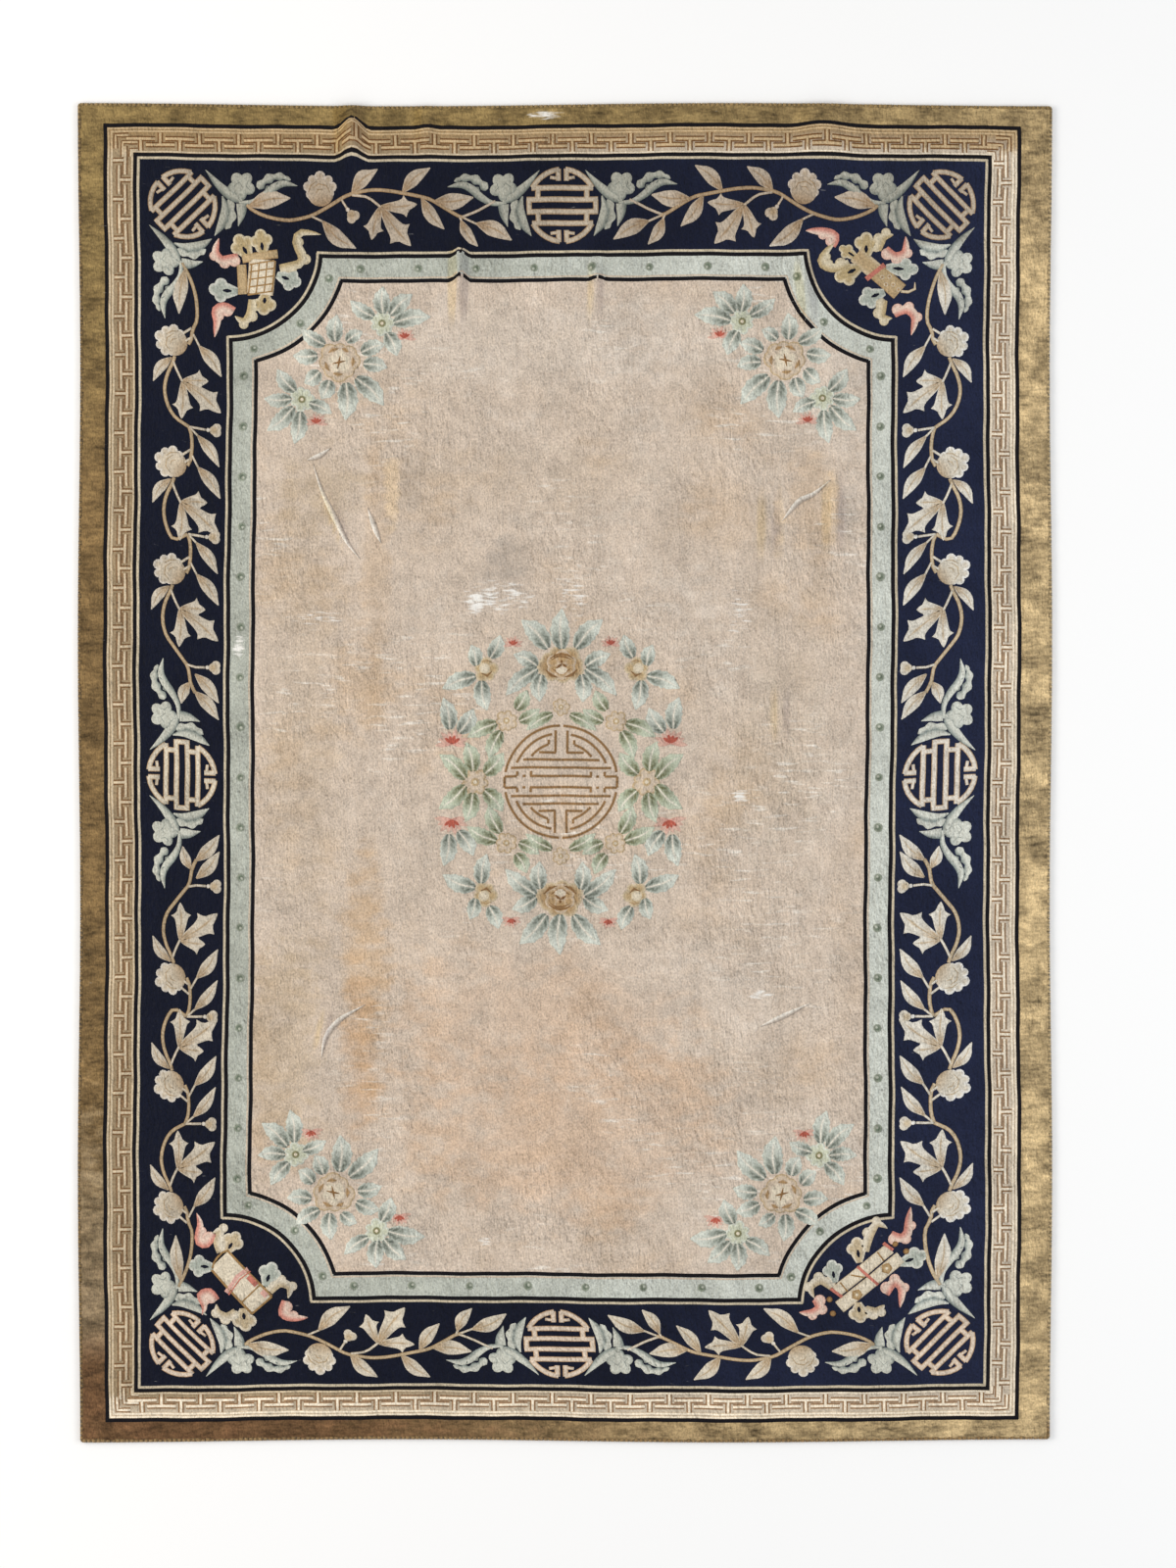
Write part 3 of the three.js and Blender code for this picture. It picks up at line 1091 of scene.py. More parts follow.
fret_piece = woven("fret", fret)

# %% [markdown]
# ## Pearls
# A row of small dots runs along the celadon band, with three more round each bitten corner. They are dark
# discs with a pale spot.

# %% Pearls
PEARL_RADIUS = 12
PEARL_DARK = silk("#65705f")
PEARL_STEP_END = 146
PEARL_STEP_SIDE = 126
PEARL_SMALLEST = 0.85
PEARLS_IN_NOTCH = 3


def disc_dye(out, angle):
    return mix(PEARL_DARK, CLOUD, 0.5 * ease(out * 1.3 - 0.4) + angle * 0)


def shine_dye(out, angle):
    return mix(CLOUD, PEARL_DARK, out * 0.7 + angle * 0)


pearl = Pile()
pearl.blossom(HERE, PEARL_RADIUS, disc_dye, lift=1.0)
pearl.blossom(Put((-2.5, -2.5)), 5, shine_dye, lift=1.3, spokes=10)
pearl_motif = template("pearl", pearl)
pearls = Pile()
pearl_runs, pearl_arcs = frame_runs(CELADON_DEPTH + CELADON_BAND / 2)
pearl_lines = [(arc[2:-2], PEARLS_IN_NOTCH) for arc in pearl_arcs]
for start, stop in pearl_runs:
    length = np.hypot(*(stop - start))
    step = PEARL_STEP_SIDE if abs(stop[0] - start[0]) < 1 else PEARL_STEP_END
    inset = (stop - start) / length * step * 0.5
    pearl_lines.append((np.array([start + inset, stop - inset]), round(length / step)))
for line, count in pearl_lines:
    repeats(pearls, pearl_motif, line, count, PEARL_SMALLEST, seed=7)
bpy.data.objects.remove(pearl_motif)
pearl_piece = woven("pearls", pearls)

# %% [markdown]
# ## The overcast edge
# The sides are bound with thread that goes over and over the edge. One stitch is a short bent cord with
# three sides, and the tree repeats it all round.

# %% Overcast edge
STITCH_PITCH = 12
STITCH_HALF = 5.7
# How far in from the edge and how high the stitch runs, from the pile over the edge to the underside.
STITCH_PATH = np.array([(8, 9.4), (4.5, 10.6), (1.2, 9.2), (-0.8, 6.5), (-0.9, 4), (1.2, 0.9), (4, 0.3)])
# The cord is proud of that path in its middle and sunk below it at its two sides.
STITCH_SWELL = 0.6
STITCH_SINK = 0.6
STITCH_SMALLEST = 0.9
# The first stitch of a side is this share of its pitch away from the corner.
STITCH_CLEAR = 0.8
# How much of the thread's gold is kept at the left, right, top and bottom, and where the ends begin. A
# painted shade darkens the left side most, and the top and the bottom less; the right keeps nearly all.
EDGE_SHEEN_AND_SHADE = (
    np.array((0.45, 0.40, 0.33)), np.array((0.98, 0.98, 0.98)),
    np.array((0.60, 0.55, 0.45)), np.array((0.60, 0.52, 0.44)), PATTERN_Y,
)


def stitch():
    """One bent cord. Its own x axis runs along the edge and its y axis points into the rug."""
    pile = Pile()
    ahead = np.gradient(STITCH_PATH, axis=0)
    ahead /= np.hypot(*ahead.T)[:, None]
    out = np.stack([-ahead[:, 1], ahead[:, 0]], axis=1)
    points = []
    for place, way in zip(STITCH_PATH, out):
        points.append((-STITCH_HALF, *(place - STITCH_SINK * way)))
        points.append((0, *(place + STITCH_SWELL * way)))
        points.append((STITCH_HALF, *(place - STITCH_SINK * way)))
    points = np.array(points)
    faces = []
    for i in range(len(STITCH_PATH) - 1):
        a = 3 * i
        faces += [(a, a + 1, a + 4, a + 3), (a + 1, a + 2, a + 5, a + 4), (a + 2, a, a + 3, a + 5)]
    last = 3 * (len(STITCH_PATH) - 1)
    faces += [(2, 1, 0), (last, last + 1, last + 2)]
    dye = np.tile(GOLD_LIGHT, (len(points), 1))
    pile.add(points[:, :2], points[:, 2], dye, faces, False)
    return pile


stitch_motif = template("stitch", stitch())
edge = Pile()
for start, stop in box_sides(RUG_WIDTH / 2, RUG_LENGTH / 2):
    count = round(np.hypot(*(stop - start)) / STITCH_PITCH)
    inset = (stop - start) / count * STITCH_CLEAR
    run = np.array([stop - inset, start + inset])
    repeats(edge, stitch_motif, run, count, STITCH_SMALLEST, seed=3)
bpy.data.objects.remove(stitch_motif)
paint_sheen_and_shade(edge, *EDGE_SHEEN_AND_SHADE)
edge_piece = woven("overcast_edge", edge, level=0, drift=0)

# %% [markdown]
# ## Leaves
# A leaf is a stroke that swells and comes to a point. Its dye starts dark at the root, runs up both sides
# of a rib in another dye and fades towards the tip, as when a weaver changes silk from row to row. The
# vine has leaves in cream, the field in faded grey and green with nicked edges. A barbed outline gives
# the lobes of the three-part leaves.

# %% Leaves
# Outlines of leaves: share of the length, and half width there.
LEAF = [(0, 0.10), (0.12, 0.45), (0.38, 1.0), (0.65, 0.86), (0.85, 0.40), (0.95, 0.22), (1, 0.04)]
BARBED = [
    (0, 0.14), (0.15, 0.36), (0.35, 0.56), (0.5, 0.7), (0.6, 0.86), (0.68, 1.24), (0.735, 0.6), (0.85, 0.38),
    (0.94, 0.2), (1, 0.03),
]
NICKED = [
    (0, 0.3), (0.1, 0.62), (0.28, 0.95), (0.38, 0.88), (0.5, 1.04), (0.58, 0.84), (0.7, 0.86), (0.78, 0.58),
    (0.9, 0.3), (1, 0.04),
]


def leaf_dye(root, body, tip, rib, reach=0.5):
    """Dark silk runs up both sides of the rib, and veins of the tip's dye leave the rib at a slant."""

    def dye(along, across):
        side = np.abs(across)
        colour = mix(body, tip, ease((along - 0.25) / 0.6) + side * 0)
        dark = ease(1 - np.abs(side - 0.45) / 0.55) * (1 - ease((along - 0.3 * reach) / reach))
        colour = mix(colour, root, dark)
        vein = ease(np.cos(2 * np.pi * (5.5 * along - 1.1 * side)))
        colour = mix(colour, tip, 0.35 * vein * ease((side - 0.1) / 0.3))
        colour = mix(colour, tip, 0.45 * ease((side - 0.75) / 0.2) + along * 0)
        return mix(colour, rib, ease(1.15 - side / 0.17) * (1 - ease((along - 0.7) / 0.3)))

    return dye


RIB = silk("#ddd5c6")
VINE_LEAF = leaf_dye(HONEY, CREAM, CREAM, mix(HONEY, STRAW, 0.5), 0.42)
GREY_DYE = leaf_dye(SLATE, GREY_LEAF, SAGE, RIB, 0.5)
GREEN_DYE = leaf_dye(OLIVE, GREEN_LEAF, FERN, RIB, 0.5)


def leaf(pile, put, base, tip, half, dye, bend=0.06, shape=LEAF, rows=11):
    base = np.array(base, dtype=float)
    way = np.array(tip, dtype=float) - base
    side = np.array([-way[1], way[0]]) * bend
    line = [base, base + 0.5 * way + side, base + 0.85 * way + 0.3 * side, tip]
    width = [(share, width * half) for share, width in shape]
    pile.stroke(put, line, width, dye, rows=rows, profile=LEAF_DOME)


STEM_DYE = edged(STRAW, HONEY, 0.3)
BRANCH_DYE = edged(CREAM, STRAW, 0.4)
STEM_HALF = 4.8
BRANCH_HALF = 3.4
TWIG_HALF = 3


def stem(pile, put, line, half=STEM_HALF):
    pile.stroke(put, line, half, STEM_DYE if half > BRANCH_HALF else BRANCH_DYE)


# Leaves of the field are broader and a little longer than their tables say.
FIELD_LEAF_BROADER = 1.56
FIELD_LEAF_LONGER = 0.07


def field_leaf(pile, put, row, dye):
    """A broad leaf from a table row: root, tip and half width."""
    root = np.array(row[:2])
    tip = np.array(row[2:4])
    far_tip = tip + FIELD_LEAF_LONGER * (tip - root)
    leaf(pile, put, root, far_tip, row[4] * FIELD_LEAF_BROADER, dye, shape=NICKED, rows=17)


def ribbon_dye(right, left, side=1):
    """Dye that changes across a stroke, from its right to its left, or the other way with side -1."""
    return lambda along, across: mix(right, left, ease(0.5 + 0.75 * side * across) + along * 0)


print("leaf outlines:", len(LEAF), len(BARBED), len(NICKED), "stations")

# %% [markdown]
# ## Buds
# Along the vine sit full round buds with frilled petals, and small ones on short stalks. Each is a few
# overlapping round patches, the later ones a little higher, with thin darker lines where one petal folds
# over the next.

# %% Buds
BUD = silk("#c0ae90")
# Petals of the frill: angle in degrees, reach and radius.
FRILL = [(-92, 27, 11), (-58, 33, 13), (-24, 35, 12), (8, 38, 14), (43, 35, 12), (76, 31, 13), (106, 26, 9)]
# Folds: radius of the line and the angles between which it runs.
FOLDS = [(12, -80, 40), (24, -50, 95), (31, -75, -10)]
FOLD_WIDTH = [(0, 0.8), (0.45, 2.3), (1, 0.8)]
FOLD_DYE = edged(mix(HONEY, STRAW, 0.45), BUD, 0.2)
LOBE_BROADER = 1.3


def petal_dye(root, edge, start=0.2):
    """Dye that changes from the middle of a blossom to its rim."""
    return lambda out, angle: mix(root, edge, ease((out - start) / (1 - start)) + angle * 0)


def polar(degrees, reach):
    """The place in a direction, given in degrees, at a distance."""
    angle = np.radians(degrees)
    return np.stack([reach * np.cos(angle), reach * np.sin(angle)], axis=-1)


def shaded_bud(out, angle):
    """Darker on the left, where the stalk comes in."""
    pale = mix(BUD, CREAM, 0.6 * out + angle * 0)
    return mix(pale, HONEY, 0.8 * out * ease((-np.cos(angle) - 0.1) / 0.9))


def frilled_bud(pile, put):
    """A full bud. Its stalk comes from the left and its frilled edge is on the right."""
    for angle, reach, radius in FRILL:
        pile.blossom(put.child(polar(angle, reach)), radius, petal_dye(BUD, PALE_CREAM), lift=1.0, spokes=10)
    pile.blossom(put, 35, shaded_bud, lift=1.3, spokes=20)
    for radius, low, high in FOLDS:
        arc = polar(np.linspace(low, high, 9), radius) - (4, 0)
        pile.stroke(put, arc, FOLD_WIDTH, FOLD_DYE, lift=1.8)


def round_bud(pile, put):
    """A small bud on a bead. It points along its own axis."""
    pile.blossom(put, 5.5, petal_dye(PALE_CREAM, CREAM), spokes=10)
    for side in (-1, 1):
        pile.blossom(put.child((22, 6 * side)), 12, petal_dye(BUD, CREAM), spokes=12)
    pile.blossom(put.child((15, 0)), 12, petal_dye(STRAW, BUD, 0.3), lift=1.5, spokes=12)


def three_lobes(pile, put, joint, lobes):
    for tip, half in lobes:
        leaf(pile, put, joint, tip, half * LOBE_BROADER, VINE_LEAF, bend=0.03, shape=BARBED, rows=19)


print("petals in the frill of a bud:", len(FRILL))

# %% [markdown]
# ## The vine
# One vine runs from each corner to the middle of each side, so it is drawn once for a side and once for
# an end, and put down four times, mirrored. Its own axis runs from the corner's roundel towards the
# middle, and its second axis points into the rug.

# %% Vine of a side
SIDE_BUDS = (345, 650, 918)
SIDE_TAIL = 1151


def side_vine(pile, put):
    first = put.child((SIDE_BUDS[0], -24))
    stem(pile, first, [(-200, 20), (-160, 40), (-110, 54), (-60, 57), (-33, 46), (-9, 43), (4, 36)])
    leaf(pile, first, (-184, 27), (-70, 12), 19, VINE_LEAF, bend=-0.05)
    for number, start in enumerate(SIDE_BUDS):
        unit = put.child((start, -24))
        after = SIDE_BUDS[number + 1] - start - 94 if number < 2 else SIDE_TAIL - start
        if number:
            stem(pile, unit, [(-94, 37), (-77, 43), (-56, 46), (-33, 46), (-9, 43), (4, 36)])
            stem(pile, unit, [(-94, 37), (-93, 58), (-91, 80)], BRANCH_HALF)
            round_bud(pile, unit.child((-91, 86), 90))
            stem(pile, unit, [(-92, 40), (-73, 61)], TWIG_HALF)
            leaf(pile, unit, (-76, 58), (2, 117), 15, VINE_LEAF)
        stem(pile, unit, [(-38, 44), (-22, 22)], BRANCH_HALF)
        stem(pile, unit, [(-16, 46), (-4, 28)], BRANCH_HALF)
        frilled_bud(pile, unit.child((2, 0), -120))
        stem(pile, unit, [(-24, 47), (8, 65)], TWIG_HALF)
        leaf(pile, unit, (4, 62), (80, 119), 17, VINE_LEAF)
        leaf(pile, unit, (40, -6), (103, -54), 14, VINE_LEAF, bend=-0.1)
        stem(pile, unit, [(36, 2), (53, -4), (86, -19), (122, -25), (160, -17), (190, 3), (after, 37)])
        stem(pile, unit, [(48, -3), (75, 8), (100, 21)], BRANCH_HALF)
        three_lobes(pile, unit, (96, 20), [((92, 86), 19), ((170, 117), 23), ((192, 18), 18)])
    tail = put.child((SIDE_TAIL, 13))
    stem(pile, tail, [(0, 0), (6, 30), (4, 48)], BRANCH_HALF)
    round_bud(pile, tail.child((4, 54), 90))
    stem(pile, tail, [(-4, -2), (14, 6), (44, 11), (70, 24)])
    leaf(pile, tail, (44, 8), (99, -12), 15, VINE_LEAF, bend=-0.08)
    leaf(pile, tail, (22, 22), (92, 84), 17, VINE_LEAF)
    leaf(pile, tail, (66, 22), (134, 84), 17, VINE_LEAF)


print("buds on a side vine:", len(SIDE_BUDS))

# %% [markdown]
# The ends are shorter, so their vine has one full bud, one three-part leaf and a row of single leaves.

# %% Vine of an end
END_STEM = [
    (160, -2), (176, 11), (215, 27), (261, 34), (298, 28), (325, 20), (350, 8), (384, -11), (404, -23),
    (424, -31), (469, -39), (514, -37), (550, -32), (587, -25), (623, -16), (664, 6), (692, 22), (708, 26),
]
END_LEAVES = [
    # root, tip, half width, bend
    ((166, 1), (270, -18), 22, -0.06),
    ((349, 34), (433, 99), 20, 0.08),
    ((424, -32), (489, -90), 18, -0.08),
    ((550, -33), (620, -92), 18, -0.08),
    ((598, -20), (655, 53), 17, 0.06),
    ((629, -12), (729, -22), 21, 0.04),
    ((697, 32), (738, 94), 16, 0.08),
    ((735, 38), (824, 80), 20, -0.06),
]


def end_vine(pile, put):
    stem(pile, put, END_STEM)
    for line in ([(320, 22), (352, 36)], [(692, 20), (700, 36)], [(704, 26), (738, 40)]):
        stem(pile, put, line, TWIG_HALF)
    stem(pile, put, [(700, 24), (737, 10), (761, -2), (784, -13)], BRANCH_HALF)
    for root, tip, half, bend in END_LEAVES:
        leaf(pile, put, root, tip, half, VINE_LEAF, bend)
    frilled_bud(pile, put.child((346, -34), -100))
    stem(pile, put, [(398, -18), (412, 3)], TWIG_HALF)
    round_bud(pile, put.child((414, 6), 52))
    stem(pile, put, [(424, -28), (461, -23), (489, -4), (499, 4)], BRANCH_HALF)
    three_lobes(pile, put, (496, 0), [((472, 78), 18), ((571, 94), 23), ((587, -5), 18)])


def side_axes(sx, sy):
    """From a corner's roundel along the side, and into the rug."""
    return Put((sx * VINE_X, sy * VINE_Y), (0, -sy), (-sx, 0))


def end_axes(sx, sy):
    """From a corner's roundel along the end, and into the rug."""
    return Put((sx * VINE_X, sy * VINE_Y), (-sx, 0), (0, -sy))


# How much of the vine's dyes is kept at the left, right, top and bottom, and where the ends begin. A painted
# sheen pales and cools the right side, a painted shade darkens the top, and the bottom is paler.
VINE_SHEEN_AND_SHADE = (
    np.array((0.93, 0.98, 1.12)), np.array((1.16, 1.30, 1.60)),
    np.array((0.81, 0.80, 0.88)), np.array((1.08, 1.14, 1.29)), FRAME_Y,
)

side_vines = Pile()
end_vines = Pile()
for quarter in QUARTERS:
    side_vine(side_vines, side_axes(*quarter))
    end_vine(end_vines, end_axes(*quarter))
paint_sheen_and_shade(side_vines, *VINE_SHEEN_AND_SHADE)
paint_sheen_and_shade(end_vines, *VINE_SHEEN_AND_SHADE)
side_vine_piece = woven("side_vines", side_vines)
end_vine_piece = woven("end_vines", end_vines)

# %% [markdown]
# ## Roundels and clouds
# Eight round frets sit in the navy border. Each is a set of bars inside a broken ring, the same above and
# below. Cloud scrolls in faded green lean against them: a horn that hugs the ring, a clump of lobes, a
# frilled wing and two small fans.

# %% Roundels
ROUNDEL_RADIUS = 92
CORNER_RADIUS = ROUNDEL_RADIUS * 0.94
# Places and half widths of the bars are shares of the radius.
BAR = 0.082
HOOK = 0.05
BAR_DYE = edged(silk("#cdc4b2"), HONEY, 0.4)


def roundel(pile, put, radius=ROUNDEL_RADIUS):
    def bar(points, half=BAR):
        pile.stroke(put, np.asarray(points) * radius, half * radius, BAR_DYE)

    for up in (-1, 1):
        bar([(-0.97, 0.155 * up), (0.97, 0.155 * up)])
        bar([(-0.84, 0.45 * up), (0.84, 0.45 * up)])
        bar([(0.9 * up, -0.155), (0.9 * up, 0.155)])
        for side in (-1, 1):
            bar([(0.66 * side, 0.155 * up), (0.66 * side, 0.45 * up)])
            bar(polar(np.linspace(29, 85, 9), 0.93) * (side, up))
            bar([(0.11 * side, 0.95 * up), (0.11 * side, 0.62 * up)])
            bar([(0.06 * side, 0.68 * up), (0.34 * side, 0.72 * up)], HOOK)


print("bar width, mm:", round(2 * BAR * ROUNDEL_RADIUS, 1))

# %% Clouds
CLOUD_LINES = [
    # line, its half widths, and the side on which it darkens: 1 for its left, -1 for its right
    ([(150, -10), (120, -24), (88, -50), (57, -84)], [(0, 6), (0.25, 13), (0.65, 9), (1, 0.8)], -1),
    ([(140, -6), (176, -8), (206, -24), (228, -42), (254, -52), (289, -47)],
     [(0, 4), (0.3, 8), (0.55, 11), (0.8, 8), (1, 0.8)], 1),
    ([(188, -40), (204, -56), (226, -67), (250, -68), (272, -60)],
     [(0, 5), (0.12, 13), (0.24, 7), (0.4, 14), (0.54, 7), (0.7, 12), (0.82, 5), (0.91, 7), (1, 1)], 1),
    ([(99, -23), (106, 8), (98, 41), (79, 72)], [(0, 2), (0.35, 12), (0.7, 11), (1, 0.8)], -1),
    ([(112, -14), (122, 10), (119, 34), (106, 56)],
     [(0, 2), (0.2, 13), (0.36, 7), (0.55, 14), (0.72, 7), (0.86, 10), (1, 1)], 1),
    ([(148, -4), (146, 22), (138, 49)], [(0, 15), (0.4, 12), (1, 0.8)], -1),
]
CURL_WIDTH = [(0, 0.6), (0.5, 2.4), (1, 0.6)]
CLOUD_CURLS = [
    [(126, -42), (136, -54), (150, -52), (152, -40)],
    [(164, -58), (160, -44), (170, -34)],
    [(206, -34), (212, -46), (222, -46)],
    [(234, -48), (240, -56)],
    [(110, 24), (118, 20)],
]


def cloud_dye(out, angle):
    """Pale, with a darker rim on the side that faces into the rug."""
    return mix(CLOUD, CLOUD_RIM, 0.8 * ease((out - 0.6) / 0.4) * ease(0.4 + np.sin(angle)))


def wing_dye(side):
    """Pale, and darker along one edge only."""
    return lambda along, across: mix(CLOUD, CLOUD_RIM, 0.9 * ease((side * across + 0.05) / 0.95) + along * 0)


def clouds(pile, put):
    """The cloud scrolls on one flank of a roundel, which lies at the origin."""
    pile.blossom(put.child((147, -46), 20), 37, cloud_dye, 5, 0.3, lift=1.2, spokes=30)
    for line, half, side in CLOUD_LINES:
        pile.stroke(put, line, half, wing_dye(side), lift=1.1, rows=19)
    for line in CLOUD_CURLS:
        pile.stroke(put, line, CURL_WIDTH, edged(CLOUD_RIM, CLOUD, 0.2), lift=1.4)


# How much of the roundels' and the clouds' dyes is kept, in the same order as for the vine, with a painted
# sheen on the right side and a painted shade at the top.
ROUNDEL_SHEEN_AND_SHADE = (
    np.array((1.02, 0.99, 0.96)), np.array((1.13, 1.14, 1.22)),
    np.array((0.77, 0.71, 0.67)), np.array((1.12, 1.02, 1.0)), FRAME_Y,
)
CLOUD_SHEEN_AND_SHADE = (
    np.array((0.93, 0.92, 0.93)), np.array((1.10, 1.10, 1.15)),
    np.array((0.69, 0.67, 0.66)), np.array((1.02, 1.01, 1.03)), FRAME_Y,
)
roundels = Pile()
cloud_scrolls = Pile()
for sx, sy in QUARTERS:
    turn = 45 if sx != sy else 135
    roundel(roundels, Put((sx * VINE_X, sy * VINE_Y)).child(turn=turn), CORNER_RADIUS)
    clouds(cloud_scrolls, side_axes(sx, sy))
    clouds(cloud_scrolls, end_axes(sx, sy))
    clouds(cloud_scrolls, Put((0, sy * VINE_Y), (sx, 0), (0, -sy)))
    clouds(cloud_scrolls, Put((sx * VINE_X, 0), (0, sy), (-sx, 0)))
for way in (-1, 1):
    roundel(roundels, Put((0, way * VINE_Y)))
    roundel(roundels, Put((way * VINE_X, 0)).child(turn=90))
paint_sheen_and_shade(roundels, *ROUNDEL_SHEEN_AND_SHADE)
paint_sheen_and_shade(cloud_scrolls, *CLOUD_SHEEN_AND_SHADE)
roundel_piece = woven("roundels", roundels)
cloud_piece = woven("cloud_scrolls", cloud_scrolls)

# %% [markdown]
# ## Corner emblems
# In each bitten corner lies a tied bundle with loose ribbons. A ribbon's end is a tapering band with
# round lobes along its outer edge, deep in colour on the inside of the curve and pale outside. A bow is a
# broad loop with three lobes and a dark eye.

# %% Ribbons
RIBBON_HALF = 15
RIBBON_LOBES = 3


def ribbon(pile, put, line, inner, outer, side=1):
    """A loose end. Its lobes are on the left of its line, or on the right with side -1."""
    line = through(line)
    ahead = np.gradient(line, axis=0)
    ahead /= np.hypot(*ahead.T)[:, None]
    left = np.stack([-ahead[:, 1], ahead[:, 0]], axis=1)
    half = RIBBON_HALF
    lobe_dye = petal_dye(outer, mix(outer, inner, 0.4))
    for share in np.linspace(0.12, 0.66, RIBBON_LOBES):
        i = round(share * (len(line) - 1))
        place = line[i] + side * left[i] * half * 0.45
        pile.blossom(put.child(place), half * (1.1 - 0.4 * share), lobe_dye, lift=1.2, spokes=12)
    width = [(0, 0.7 * half), (0.4, 0.85 * half), (0.75, 0.6 * half), (0.92, 0.3 * half), (1, 0.8)]
    pile.stroke(put, line[::4], width, ribbon_dye(inner, outer, side), lift=1.5, rows=13)


def bow(pile, put, root, tip, half, inner, outer):
    """A loop of ribbon from its root at the knot to its tip."""
    root = np.array(root, dtype=float)
    tip = np.array(tip, dtype=float)
    way = tip - root
    aside = np.array([-way[1], way[0]]) / np.hypot(*way)
    lobe_dye = petal_dye(inner, outer, 0.3)
    for share, off in ((0.62, 0.62), (0.62, -0.62), (0.84, 0.0)):
        place = root + way * share + aside * half * off
        pile.blossom(put.child(place), half * 0.68, lobe_dye, lift=1.2)
    width = [(0, 0.4 * half), (0.45, 0.95 * half), (0.75, 0.8 * half), (1, 0.3 * half)]
    pile.stroke(put, [root, tip], width, edged(inner, outer, 0.35), lift=1.4, rows=7)
    eye = [root + way * 0.22, root + way * 0.56]
    pile.stroke(put, eye, [(0, 2), (0.5, half * 0.26), (1, 2)], solid(NAVY), lift=1.9)


# Ribbon silks: the inside of a curve, and the outside.
TAN = (silk("#ae9a73"), silk("#cfc3a9"))
IVORY = (silk("#b8a687"), silk("#d6ccb9"))
GREEN = (silk("#a6aba0"), silk("#d2d1c6"))
ROSE = (silk("#c68273"), silk("#dcc4b3"))
print("ribbon half width, mm:", RIBBON_HALF)

# %% [markdown]
# The four bundles differ: a lattice box, a gathered pouch, a book in its case and a pair of scrolls.
# Broad strokes make the bodies, and narrow ones on top of them make the lattice, labels, bands and cords.
# Each has a table of bows and one of loose ends.

# %% Bundle helpers
BUNDLE_STEP = 16


def broad(pile, put, start, stop, half, dye, lift=1.7):
    pile.stroke(put, evenly([start, stop], BUNDLE_STEP), half, dye, lift)


def narrow(pile, put, line, colour, half=2.4, lift=2.2):
    pile.stroke(put, evenly(line, BUNDLE_STEP), half, solid(colour), lift)


def tie(pile, put, bows, ends):
    """Bows are rows of root, tip, half width and silk. Ends are rows of line, silk and side of the lobes."""
    for line, dyes, side in ends:
        ribbon(pile, put, line, *dyes, side)
    for root, tip, half, dyes in bows:
        bow(pile, put, root, tip, half, *dyes)


emblems = Pile()
print("bundle strokes follow the ripples every", BUNDLE_STEP, "mm")

# %% Lattice box
BOX_BOWS = [
    ((-30, 46), (-60, 100), 24, TAN),
    ((4, 52), (-4, 114), 22, TAN),
    ((36, 6), (94, -16), 22, GREEN),
    ((-60, -36), (-130, -32), 24, GREEN),
    ((8, -40), (6, -88), 24, TAN),
]
BOX_ENDS = [
    ([(44, 22), (75, 28), (96, 34), (102, 50), (92, 72), (86, 94), (102, 112), (150, 107)], TAN, -1),
    ([(-58, 52), (-84, 44), (-104, 42), (-116, 64), (-106, 96)], ROSE, 1),
    ([(-24, -56), (-28, -92), (-46, -112), (-68, -98)], TAN, 1),
    ([(-70, -86), (-96, -74), (-116, -86), (-112, -112), (-118, -152)], ROSE, 1),
]
box = Put((-756, 1256))
tie(emblems, box, BOX_BOWS, BOX_ENDS)
broad(emblems, box, (-52, 32), (-48, -44), 13, edged(STRAW, HONEY))
broad(emblems, box, (-50, 46), (40, 58), 12, edged(STRAW, HONEY), 1.6)
broad(emblems, box, (2, 44), (-6, -44), 37, edged(PALE_CREAM, STRAW, 0.7), 1.8)
for x in (-30, -11, 9, 29):
    narrow(emblems, box, [(x + 4, 36 + 0.16 * x), (x - 4, -40 + 0.16 * x)], HONEY)
for y in (-40, -21, -2, 17, 36):
    narrow(emblems, box, [(-34 + 0.06 * y, y - 5), (30 + 0.06 * y, y + 5)], HONEY)
print("shapes so far:", len(emblems.flat))

# %% Gathered pouch
POUCH_BOWS = [
    ((-40, 44), (-36, 102), 24, TAN),
    ((-50, 22), (-112, -10), 24, TAN),
    ((10, 20), (92, 16), 22, GREEN),
    ((10, -40), (-52, -66), 22, GREEN),
    ((-58, 40), (-104, 70), 15, TAN),
]
POUCH_ENDS = [
    ([(-80, 30), (-116, 16), (-150, 30), (-136, 60), (-116, 82)], TAN, -1),
    ([(-124, 72), (-116, 96), (-146, 106), (-190, 108)], ROSE, 1),
    ([(-10, 64), (4, 96), (30, 102)], TAN, 1),
    ([(10, 68), (34, 48), (60, 60), (60, 98)], ROSE, -1),
    ([(8, -60), (2, -102), (30, -106)], TAN, -1),
    ([(34, -96), (66, -84), (88, -106), (78, -150)], ROSE, 1),
]
pouch = Put((800, 1259))
tie(emblems, pouch, POUCH_BOWS, POUCH_ENDS)
broad(emblems, pouch, (-64, 52), (-12, 8), 24, edged(STRAW, CREAM))
broad(emblems, pouch, (-14, 12), (48, -40), 25, edged(STRAW, HONEY, 0.7), 1.8)
broad(emblems, pouch, (-38, -10), (8, 28), 7, solid(CORAL), 2.2)
for x, y in ((2, -4), (20, -2), (12, -22), (30, -22), (44, -34)):
    emblems.blossom(pouch.child((x, y)), 6, petal_dye(HONEY, PALE_CREAM), lift=2.3, spokes=10)
TASSEL = [(50, -38), (72, -40), (88, -30), (84, -16)]
emblems.stroke(pouch, TASSEL, [(0, 4), (0.7, 4), (1, 1)], edged(CREAM, HONEY))
print("shapes so far:", len(emblems.flat))

